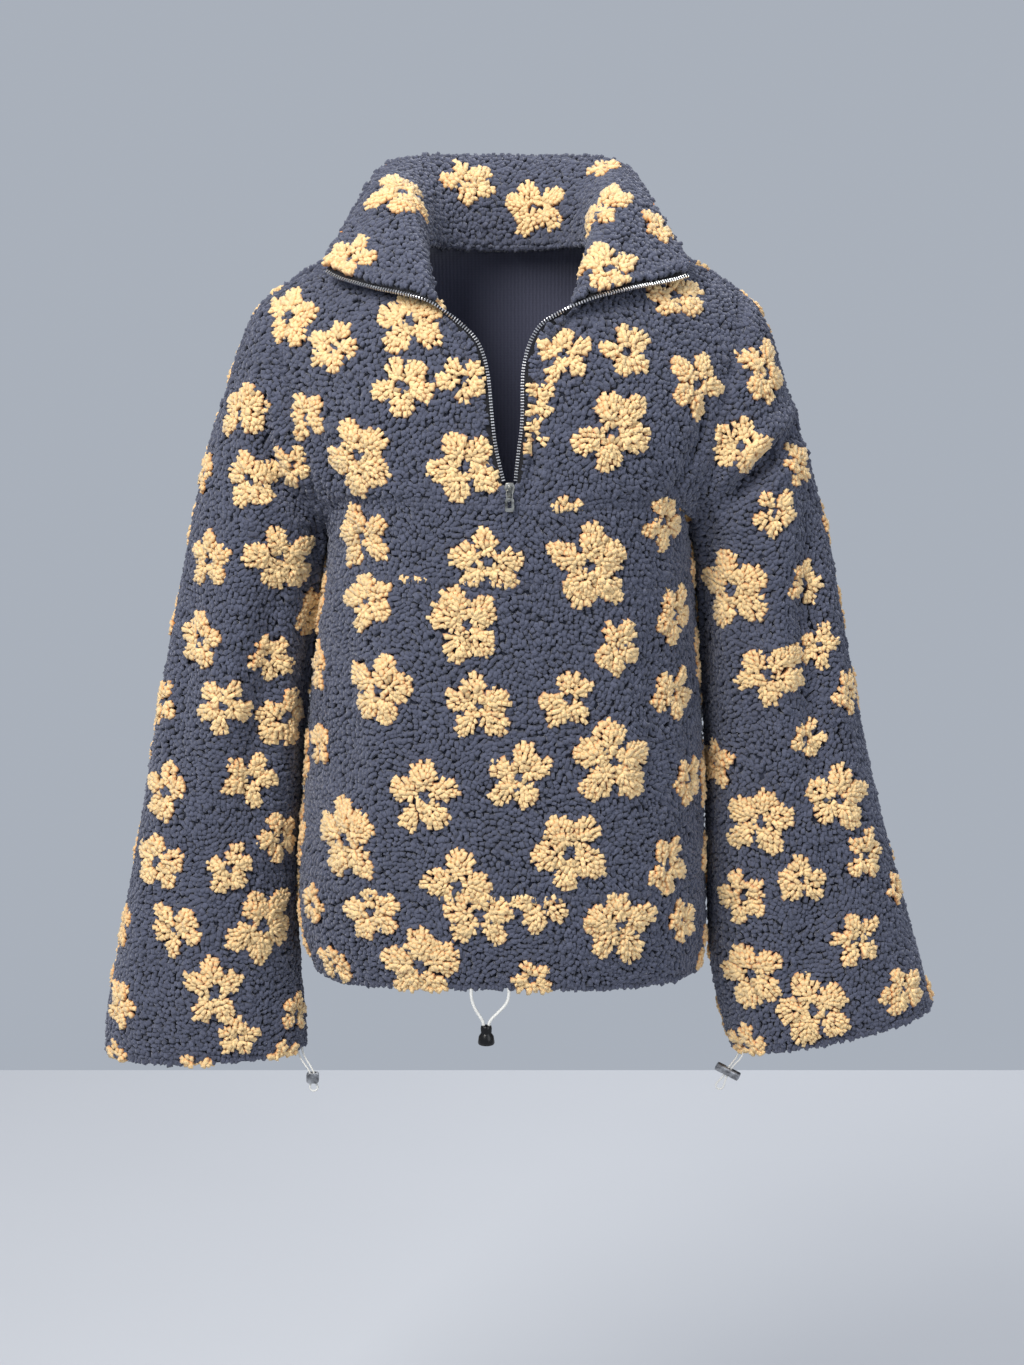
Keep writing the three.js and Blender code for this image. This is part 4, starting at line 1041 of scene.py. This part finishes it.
def joined_copies(name, batches, unevenness=0.0, rng=None):
    """One mesh of many copies. A batch holds a template, and for each copy its axes, its place and
    its colours, low and high."""
    every = {"points": [], "faces": [], "uv": [], "tint": []}
    side = math.ceil(math.sqrt(sum(len(batch["places"]) for batch in batches)))
    done = made = 0
    for batch in batches:
        template = batch["template"]
        count, points = len(batch["places"]), len(template["points"])
        cell = done + np.arange(count)
        corner = np.stack([cell % side, cell // side], 1)[:, None]
        # Painted shade: a copy's colour runs from its low colour at its foot to its high one at its top, so
        # pile is darker at its roots
        height = np.clip(0.45 + 0.62 * template["points"][:, 2], 0, 1)[None, :, None]
        low, high = (tints[:, None] for tints in batch["tints"])
        every["points"].append(spread_batch(batch, unevenness, rng))
        every["faces"].append(template["faces"][None] + (made + np.arange(count) * points)[:, None, None])
        every["uv"].append((corner + 0.04 + 0.92 * template["uv"][None]) / side)
        every["tint"].append(low * (1 - height) + high * height)
        done += count
        made += count * points
    points, faces, uv, tint = (
        np.concatenate([part.reshape(-1, part.shape[-1]) for part in parts]) for parts in every.values())
    mesh = bpy.data.meshes.new(name)
    mesh.vertices.add(len(points))
    mesh.vertices.foreach_set("co", points.astype(np.float32).ravel())
    mesh.loops.add(faces.size)
    mesh.loops.foreach_set("vertex_index", faces.astype(np.int32).ravel())
    mesh.polygons.add(len(faces))
    mesh.polygons.foreach_set("loop_start", np.arange(len(faces), dtype=np.int32) * 3)
    mesh.polygons.foreach_set("use_smooth", np.ones(len(faces), bool))
    mesh.uv_layers.new(name="UVMap").uv.foreach_set("vector", uv.astype(np.float32).ravel())
    rgba = np.concatenate([tint, np.ones((len(tint), 1))], 1)
    tone_and_painted_shade = mesh.attributes.new("tint", "FLOAT_COLOR", "POINT")
    tone_and_painted_shade.data.foreach_set("color", rgba.astype(np.float32).ravel())
    mesh.update(calc_edges=True)
    return new_piece(name, mesh)


def flower_mask(flowers, places, rng):
    """For each place: whether a flower colours it, its groove and puff in the petal, and its lock's way."""
    taken = np.zeros(len(places), bool)
    groove, puff, ways = np.zeros(len(places)), np.zeros(len(places)), np.zeros((len(places), 3))
    for flower in flowers:
        near = np.flatnonzero(np.linalg.norm(places - flower.centre, axis=1) < FLOWER_SPAN * flower.radius)
        inside, between, middle, fan = flower.covers(places[near], rng)
        new = inside & ~taken[near]
        hit = near[new]
        taken[hit] = True
        groove[hit], puff[hit], ways[hit] = between[new], middle[new], fan[new]
    return taken, groove, puff, ways


def teeth_beside(node):
    """The search tree of the zip teeth that a piece's edge follows."""
    if node not in TEETH_BY_NODE:
        return None
    return NearestOf([search_tree(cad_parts[name]) for name in TEETH_BY_NODE[node]])


def pile_spots(node, skin_piece, skin, seed, rng):
    """Where pile stands on a piece: coarse spots for the ground, fine ones for the flowers and the
    rows round its rim. Gives places, normals, ways, grooves, puffs, and which are flower and rim."""
    settings = bpy.context.scene.pullover_fleece
    flowers = flowers_of(node, skin, rng)
    rim = rim_spots(skin_piece, 1.1 * settings.spacing, teeth_beside(node), rng)
    coarse = distribute(skin_piece, settings.spacing, seed)
    fine = distribute(skin_piece, settings.lock_spacing, seed + 100)
    places = np.concatenate([coarse[0], rim[0], fine[0]])
    normals = unit(np.concatenate([coarse[1], rim[1], fine[1]]))
    on_coarse, on_rim = (
        np.repeat(kinds, [len(coarse[0]), len(rim[0]), len(fine[0])])
        for kinds in ([True, False, False], [False, True, False]))
    in_flower, groove, puff, fans = flower_mask(flowers, places, rng)
    if node in HIDDEN_NECK:
        at_neck = rim[0][(np.abs(rim[0][:, 0]) < NECK_HALF_WIDTH) & (rim[0][:, 2] > NECK_LOW)]
        in_flower &= np.linalg.norm(places[:, None] - at_neck[None], axis=2).min(1) > NECK_CLEAR
    way = np.where(in_flower[:, None], fans, combed(places, normals, rng))
    way[on_rim] = rim[2] + rng.normal(0, 0.4, rim[2].shape)
    used = on_rim | (on_coarse == ~in_flower)
    return (part[used] for part in (places, normals, way, groove, puff, in_flower, on_rim))


def make_pile(node, skin_piece, skin, seed):
    """The tufts of one piece of cloth: small knobs on the ground, longer and finer locks in the flowers."""
    settings = bpy.context.scene.pullover_fleece
    rng = np.random.default_rng(seed)
    places, normals, way, groove, puff, in_flower, on_rim = pile_spots(node, skin_piece, skin, seed, rng)
    count = len(places)
    kind = {key: np.where(in_flower, LOCK[key], TUFT[key]) for key in LOCK}
    way = unit(way - (way * normals).sum(1)[:, None] * normals)
    lean = kind["lean"][:, None] * way + rng.normal(0, 0.13, (count, 3))
    up = unit(normals - lean)
    along = unit(way - (way * up).sum(1)[:, None] * up)
    across = np.cross(up, along)
    size = uneven(rng, 0.12, count)
    stretch = rng.uniform(1.0, 1.5, count)
    long = np.where(in_flower, LOCK_LENGTH * settings.lock, settings.tuft * stretch) * size
    wide = np.where(in_flower, LOCK_WIDTH * settings.lock, settings.tuft / stretch ** 0.4) * size
    half = kind["half"] * MM * uneven(rng, 0.1, count, 0.75, 1.3)
    long, wide = (part * np.where(on_rim, RIM_SIZE, 1) for part in (long, wide))
    half = half * np.where(on_rim, rng.uniform(*RIM_HEIGHT, count), 1)
    frames = np.stack([along * long[:, None], across * wide[:, None], up * half[:, None]], 2)
    rise = kind["rise"] + kind["puff"] * puff - GROOVE * groove + rng.normal(0, 0.28, count)
    rise = rise - np.where(on_rim, RIM_SINK, SINK)
    tilt = np.sqrt(np.clip(1 - (up * normals).sum(1) ** 2, 0, 1))
    foot = rise - (0.45 * half + 0.8 * tilt * long) / MM
    rise = np.where(on_rim, rise, np.maximum(rise, rise - DEEPEST - foot))
    centres = places + normals * MM * rise[:, None]
    # Random tone, times painted shade in the grooves between petals
    tone_and_painted_shade = (uneven(rng, 0.07, count, 0.8, 1.2) * (1 - PAINTED_GROOVE_SHADE * groove))[:, None]
    high = np.where(in_flower[:, None], settings.flower, settings.ground) * tone_and_painted_shade
    # Painted shade at the roots: a ground tuft darkens to a share of its colour, a flower's lock to the
    # flower root colour
    low = np.where(in_flower[:, None], settings.flower_root_painted_shade, PAINTED_ROOT_SHADE * np.array(settings.ground)) * tone_and_painted_shade
    batches = [
        {"template": TEMPLATES[template], "frames": frames[chosen], "places": centres[chosen],
         "tints": (low[chosen], high[chosen])}
        for template, chosen in (("tuft", ~in_flower), ("lock", in_flower)) if chosen.any()]
    pile = joined_copies(f"{node}_pile", batches, 0.09, rng)
    dress(pile, material("pile"))
    return pile


def make_cloth(node, seed):
    """One piece of cloth: its knit shell with folds, and the pile on it."""
    settings = bpy.context.scene.pullover_fleece
    if "tuft" not in TEMPLATES:
        TEMPLATES["tuft"] = pillow_template(low=0.82, high=0.51, lean=0.12)
        TEMPLATES["lock"] = pillow_template(low=0.78, high=0.56, lean=0.2)
    shell = bare_skin(node)
    fine = new_piece(f"{node}_fine", shell.data.copy())
    skin = smooth_skin(fine, 2)
    lines = fold_lines(node, skin)
    pile = make_pile(node, fine, press(fine, skin, lines), seed)
    bpy.data.objects.remove(fine)
    under = [
        (corners, UNDER_WIDTH * width, depth + (UNDER_DEPTH if depth > 0 else 0), UNDER_LIP * lip, back)
        for corners, width, depth, lip, back in lines]
    skin = press(shell, smooth_skin(shell, 1), under)
    move_points(shell, skin["points"] - settings.pile * skin["normals"] + settings.seam * edge_ways(shell))
    # The shell's outer side and rim take the ground's colour darkened as painted shade under the pile; its
    # inner side is the knit
    dress(shell, material("ground", tuple(settings.ground)), material("knit", tuple(settings.back)))
    apply_modifier(
        shell, "SOLIDIFY", thickness=settings.knit, offset=-1, material_offset=1, material_offset_rim=0)
    hand_over(shell, node)
    hand_over(pile)


class Sewing:
    """What the operators share that sew cloth. Each names its pieces and what they add to the seed."""

    def execute(self, context):
        for node, step in self.pieces.items():
            make_cloth(node, context.scene.pullover_fleece.seed + step)
        return {"FINISHED"}


class PULLOVER_OT_fronts(Sewing, bpy.types.Operator):
    """Sew the front pieces."""

    bl_idname = "pullover.fronts"
    bl_label = "Fronts"
    pieces = {"front_upper_left": 0, "front_upper_right": 1, "front_band": 2, "front_lower": 3}


class PULLOVER_OT_back(Sewing, bpy.types.Operator):
    """Sew the back."""

    bl_idname = "pullover.back"
    bl_label = "Back"
    pieces = {"back_panel": 10}


class PULLOVER_OT_hem(Sewing, bpy.types.Operator):
    """Sew the hem bands."""

    bl_idname = "pullover.hem"
    bl_label = "Hem bands"
    pieces = {"hem_front": 20, "hem_back": 21}


class PULLOVER_OT_sleeves(Sewing, bpy.types.Operator):
    """Sew the sleeves."""

    bl_idname = "pullover.sleeves"
    bl_label = "Sleeves"
    pieces = {"sleeve_left": 30, "sleeve_right": 31}


class PULLOVER_OT_collar(Sewing, bpy.types.Operator):
    """Sew the collar's two layers."""

    bl_idname = "pullover.collar"
    bl_label = "Collar"
    pieces = {"collar_facing": 40, "collar_outer": 41}


# Draw cords, point by point from where each leaves the cloth, in millimetres
HEM_CORD_LEFT = [
    (-32, -129.4, -623), (-32, -129.5, -625.5), (-32, -129.6, -628), (-31.8, -129.7, -630.4),
    (-31.4, -129.9, -632.8), (-30.8, -130, -635.2), (-30, -130.2, -637.6), (-29, -130.3, -640),
    (-27.8, -130.5, -642.3), (-26.5, -130.6, -644.5), (-25.1, -130.7, -646.7), (-23.8, -130.8, -648.8),
    (-22.6, -130.9, -650.9), (-21.6, -131, -653.2), (-21.2, -131, -655.6),
]
HEM_CORD_RIGHT = [
    (1, -129.6, -622.4), (1, -129.7, -625.1), (0.9, -129.8, -627.8), (0.6, -129.9, -630.4),
    (0, -130, -633), (-1, -130.1, -635.4), (-2.4, -130.3, -637.6), (-4.1, -130.4, -639.7),
    (-6, -130.5, -641.7), (-8, -130.6, -643.7), (-10, -130.7, -645.7), (-12, -130.8, -647.7),
    (-14, -130.9, -649.8), (-15.8, -131, -652.4), (-16.6, -131, -655.6),
]
CUFF_CORD_LEFT = [
    (-192.3, -14, -714.8), (-192, -14.2, -718.4), (-190.6, -14.8, -722), (-188.5, -15.4, -725.6),
    (-186, -16, -729.2), (-183.4, -16.4, -732.8), (-181.5, -16.6, -737), (-180.7, -16.7, -741),
    (-180.4, -16.7, -745), (-181.6, -16.6, -748.2), (-181.7, -16.4, -751.2), (-179.6, -16.2, -753.6),
    (-176.6, -16.1, -753.4), (-174.8, -16.1, -751), (-175.6, -16.1, -748), (-177.4, -16.1, -745),
    (-177.7, -16, -741), (-178.2, -15.6, -737), (-179.8, -14.9, -733.2), (-182.2, -13.4, -729.6),
    (-184.8, -11.7, -726), (-187.1, -9.9, -722.3), (-188.8, -8.2, -718.5), (-189.4, -7, -714.7),
]
CUFF_CORD_RIGHT = [
    (211.6, -12, -715.1), (211.2, -12.4, -718.6), (209.8, -13, -721.9), (207.8, -13.8, -724.9),
    (205.4, -14.6, -727.8), (203.1, -15.2, -730.6), (201.1, -15.7, -733.5), (199.2, -16.2, -736.4),
    (197.5, -16.6, -739.4), (194.8, -16.9, -742.4), (191.9, -17.1, -745.6), (190.8, -17.2, -749),
    (193.2, -17.2, -751.6), (196.6, -17.1, -750.8), (198.3, -17, -747.6), (199.2, -16.8, -744.2),
    (200.1, -16.7, -741), (201.7, -16.5, -738), (203.3, -16.4, -735), (205, -16.4, -732),
    (207, -16.8, -729.1), (209.4, -17.3, -726.3), (211.8, -17.9, -723.4), (214.2, -18.5, -719.6),
    (215.4, -19, -714.9),
]


def metres(route):
    return [Vector(spot) * MM for spot in route]


def make_curve(name, places, diameter, cuts, rounds):
    """An open curve through places, with a round section and closed ends."""
    deselect()
    bpy.ops.curve.primitive_bezier_curve_add(location=(0, 0, 0))
    piece = bpy.context.object
    piece.name = name
    curve = piece.data
    spline = curve.splines[0]
    spline.bezier_points.add(len(places) - 2)
    for point, place in zip(spline.bezier_points, places):
        point.co = place
        point.handle_left_type = "AUTO"
        point.handle_right_type = "AUTO"
    curve.resolution_u = cuts
    curve.bevel_depth = diameter / 2
    curve.bevel_resolution = rounds
    curve.use_fill_caps = True
    return piece


class PULLOVER_OT_cords(bpy.types.Operator):
    """Lay the hem's and the cuffs' draw cords, with their locks."""

    bl_idname = "pullover.cords"
    bl_label = "Draw cords"

    def execute(self, context):
        trim = context.scene.pullover_trim
        braid = material("cord", tuple(trim.cord_colour))
        bell = hard_piece("hem_cord_lock", "bell_lock", 0.3, "plastic:black")
        block = hard_piece("cuff_lock_left", "block_lock", 0.4, "metal:gunmetal")
        barrel = hard_piece("cuff_lock_right", "barrel_lock", 0.4, "metal:gunmetal")
        for node, route, diameter, lock, end in [
                ("hem_cord_left", HEM_CORD_LEFT, trim.hem_cord, bell, "fitting"),
                ("hem_cord_right", HEM_CORD_RIGHT, trim.hem_cord, bell, "fitting"),
                ("cuff_cord_left", CUFF_CORD_LEFT, trim.cuff_cord, block, "object"),
                ("cuff_cord_right", CUFF_CORD_RIGHT, trim.cuff_cord, barrel, "object")]:
            points = metres(route)
            cord = make_curve(f"{node}_braid", points, diameter, 3, 3)
            dress(cord, braid)
            hand_over(cord, node)
        return {"FINISHED"}


# Zip teeth, from the slider up and out along the collar, in millimetres
TEETH_LEFT = [
    (-3.2, -128.6, -179), (-6, -126.5, -168), (-10, -124, -150), (-13, -121, -127), (-16, -115, -95),
    (-20, -111, -75), (-27, -108, -60), (-38, -105, -49), (-52, -105, -38), (-66, -104, -29),
    (-82, -99, -24), (-112, -83, -19), (-143, -60, -12), (-157, -47, -6),
]
TEETH_RIGHT = [
    (6.2, -128.6, -179), (7.5, -126.5, -166), (9.5, -124, -149), (12, -121, -127), (12.5, -114.5, -92),
    (15, -111, -75), (20, -108, -60), (29, -106, -47), (44, -105, -38), (59, -104, -31),
    (76, -99, -25), (104, -86, -19), (138, -62, -14), (155, -49, -10),
]

# A tooth, in millimetres: its block, then how far each step of its neck and head reaches and how much
# it widens. The bead is the tape's thick edge, that the teeth are clenched on.
TOOTH_BLOCK = (1.2, 1.1, 2.3)
TOOTH_STEPS = ((0.55, 0.75), (0.6, 1.4), (0.75, 1.0))
TOOTH_MIDDLE = 1.15
TOOTH_ROUNDING = 0.22
BEAD_BACK = 0.9
BEAD_DIAMETER = 1.9
TOOTH_GREY = 0.6


def smooth_route(points, steps=12):
    """A smooth curve through points, cut finely."""
    padded = [points[0] * 2 - points[1], *points, points[-1] * 2 - points[-2]]
    made = []
    for index in range(1, len(padded) - 2):
        before, start, end, after = padded[index - 1:index + 3]
        for step in range(steps):
            t = step / steps
            made.append(0.5 * (
                2 * start + (end - before) * t + (2 * before - 5 * start + 4 * end - after) * t ** 2
                + (3 * start - before - 3 * end + after) * t ** 3))
    made.append(points[-1].copy())
    return made


def spaced(points, pitch):
    """Places at an even pitch along a chain of points, with the direction at each."""
    places, ways = [], []
    due = pitch / 2
    done = 0.0
    for start, end in zip(points, points[1:]):
        length = (end - start).length
        while due <= done + length:
            places.append(start.lerp(end, (due - done) / length))
            ways.append((end - start).normalized())
            due += pitch
        done += length
    return places, ways


def tooth_template():
    """One tooth: a block with a rounded head on a narrower neck."""
    deselect()
    bpy.ops.mesh.primitive_cube_add(size=1.0)
    tooth = bpy.context.object
    tooth.scale = Vector(TOOTH_BLOCK) * MM
    bpy.ops.object.transform_apply(location=False, rotation=False, scale=True)
    select_faces(tooth, [face.normal.x > 0.9 for face in tooth.data.polygons])
    with EditMode(None):
        for reach, width in TOOTH_STEPS:
            bpy.ops.mesh.extrude_region_move(TRANSFORM_OT_translate={"value": (reach * MM, 0, 0)})
            bpy.ops.transform.resize(value=(1, width, 1))
    apply_modifier(
        tooth, "BEVEL", width=TOOTH_ROUNDING * MM, segments=1, limit_method="ANGLE",
        angle_limit=math.radians(50))
    template = read_template()
    template["points"] -= np.array([TOOTH_MIDDLE * MM, 0, 0])
    return template


def tooth_axes(places, ways, tape):
    """Each tooth's axes: its head points away from the tape, evened out over its neighbours."""
    inwards = [(place - tape.find_nearest(place)[0]).normalized() for place in places]
    frames = []
    for index, way in enumerate(ways):
        head = sum(inwards[max(0, index - 4):index + 5], Vector()).normalized()
        head = (head - head.dot(way) * way).normalized()
        frames.append(np.array([head, way, head.cross(way)]).T)
    return np.array(frames)


def make_teeth(side, table):
    """One side's teeth, each a piece of metal clenched on the bead of its tape."""
    trim = bpy.context.scene.pullover_trim
    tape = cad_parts[f"zip_tape_{side}"]
    twill = material("tape", tuple(trim.tape_colour))
    places, ways = spaced(smooth_route(metres(table)), trim.tooth_pitch)
    frames = tooth_axes(places, ways, search_tree(tape))
    grey = np.full((len(places), 3), TOOTH_GREY)
    teeth = joined_copies(f"zip_teeth_row_{side}", [{
        "template": TEMPLATES["tooth"], "frames": frames, "places": np.array(places),
        "tints": (grey, grey)}])
    teeth.data.shade_flat()
    dress(teeth, material("metal:silver"))
    hand_over(teeth, f"zip_teeth_{side}")
    middles = [
        place - BEAD_BACK * MM * Vector(axes[:, 0]) for place, axes in zip(places, frames)]
    bead = make_curve(f"zip_bead_{side}", middles, BEAD_DIAMETER * MM, 1, 1)
    only(bead)
    bpy.ops.object.convert(target="MESH")
    dress(bead, twill)
    hand_over(bead)
    dress(tape, twill)


class PULLOVER_OT_zip(bpy.types.Operator):
    """Set the zip: tapes, teeth, stop, slider and pull."""

    bl_idname = "pullover.zip"
    bl_label = "Zip"

    def execute(self, context):
        TEMPLATES["tooth"] = tooth_template()
        make_teeth("left", TEETH_LEFT)
        make_teeth("right", TEETH_RIGHT)
        hard_piece("zip_slider", "slider", 0.35, "metal:antique")
        hard_piece("zip_bottom_stop", "bottom_stop", 0.3, "metal:silver")
        hard_piece("zip_pull", "pull", 0.32, "metal:antique", PULL_BODY)
        return {"FINISHED"}


# Stage
def make_light(name, place, size, power, colour, aim):
    deselect()
    bpy.ops.object.light_add(type="AREA", location=place)
    light = bpy.context.object
    light.name = name
    light.data.size = size
    light.data.energy = power
    light.data.color = colour
    light.rotation_euler = (Vector(aim) - Vector(place)).to_track_quat("-Z", "Y").to_euler()


class PULLOVER_OT_stage(bpy.types.Operator):
    """Set the camera, the floor, the backdrop and the light."""

    bl_idname = "pullover.stage"
    bl_label = "Stage"

    def execute(self, context):
        settings = context.scene.pullover_stage
        deselect()
        bpy.ops.object.camera_add(location=EYE, rotation=(math.pi / 2 - PITCH, 0, 0))
        camera = bpy.context.object
        camera.data.lens = LENS
        camera.data.sensor_width = SENSOR
        camera.data.clip_end = 60
        context.scene.camera = camera
        deselect()
        bpy.ops.mesh.primitive_plane_add(size=2 * settings.reach, location=(0, 0, settings.floor))
        floor = bpy.context.object
        floor.name = "floor"
        bpy.ops.object.transform_apply(location=True)
        dress(floor, material("stage:studio_floor", tuple(settings.floor_colour), 0.6))
        for name, values in LIGHTS.items():
            make_light(name, *values)
        world = bpy.data.worlds.new("studio")
        context.scene.world = world
        world.use_nodes = True
        background = world.node_tree.nodes["Background"]
        background.inputs["Color"].default_value = (*settings.wall_colour, 1)
        background.inputs["Strength"].default_value = SKY_STRENGTH
        context.scene.view_settings.view_transform = "Standard"
        return {"FINISHED"}


class PULLOVER_PT_panel(bpy.types.Panel):
    """Lists the operators and the settings."""

    bl_label = "Pullover"
    bl_idname = "PULLOVER_PT_panel"
    bl_space_type = "VIEW_3D"
    bl_region_type = "UI"
    bl_category = "Pullover"

    def draw(self, context):
        for operator in OPERATORS:
            self.layout.operator(operator.bl_idname)
        for name, settings in SETTINGS.items():
            box = self.layout.box()
            for key in settings.__annotations__:
                box.prop(getattr(context.scene, name), key)


OPERATORS = [
    PULLOVER_OT_stage, PULLOVER_OT_cords, PULLOVER_OT_fronts, PULLOVER_OT_back, PULLOVER_OT_hem,
    PULLOVER_OT_sleeves, PULLOVER_OT_collar, PULLOVER_OT_zip,
]
SETTINGS = {
    "pullover_fleece": FleeceSettings, "pullover_trim": TrimSettings, "pullover_stage": StageSettings,
}


def register():
    for group in SETTINGS.values():
        bpy.utils.register_class(group)
    for name, group in SETTINGS.items():
        setattr(bpy.types.Scene, name, PointerProperty(type=group))
    for operator in OPERATORS:
        bpy.utils.register_class(operator)
    bpy.utils.register_class(PULLOVER_PT_panel)


def unregister():
    bpy.utils.unregister_class(PULLOVER_PT_panel)
    for operator in reversed(OPERATORS):
        bpy.utils.unregister_class(operator)
    for name in SETTINGS:
        delattr(bpy.types.Scene, name)
    for group in SETTINGS.values():
        bpy.utils.unregister_class(group)


def main():
    register()
    bpy.ops.pullover.stage()
    bpy.ops.pullover.cords()
    bpy.ops.pullover.fronts()
    bpy.ops.pullover.back()
    bpy.ops.pullover.hem()
    bpy.ops.pullover.sleeves()
    bpy.ops.pullover.collar()
    bpy.ops.pullover.zip()
    deselect()


if __name__ == "__main__":
    main()
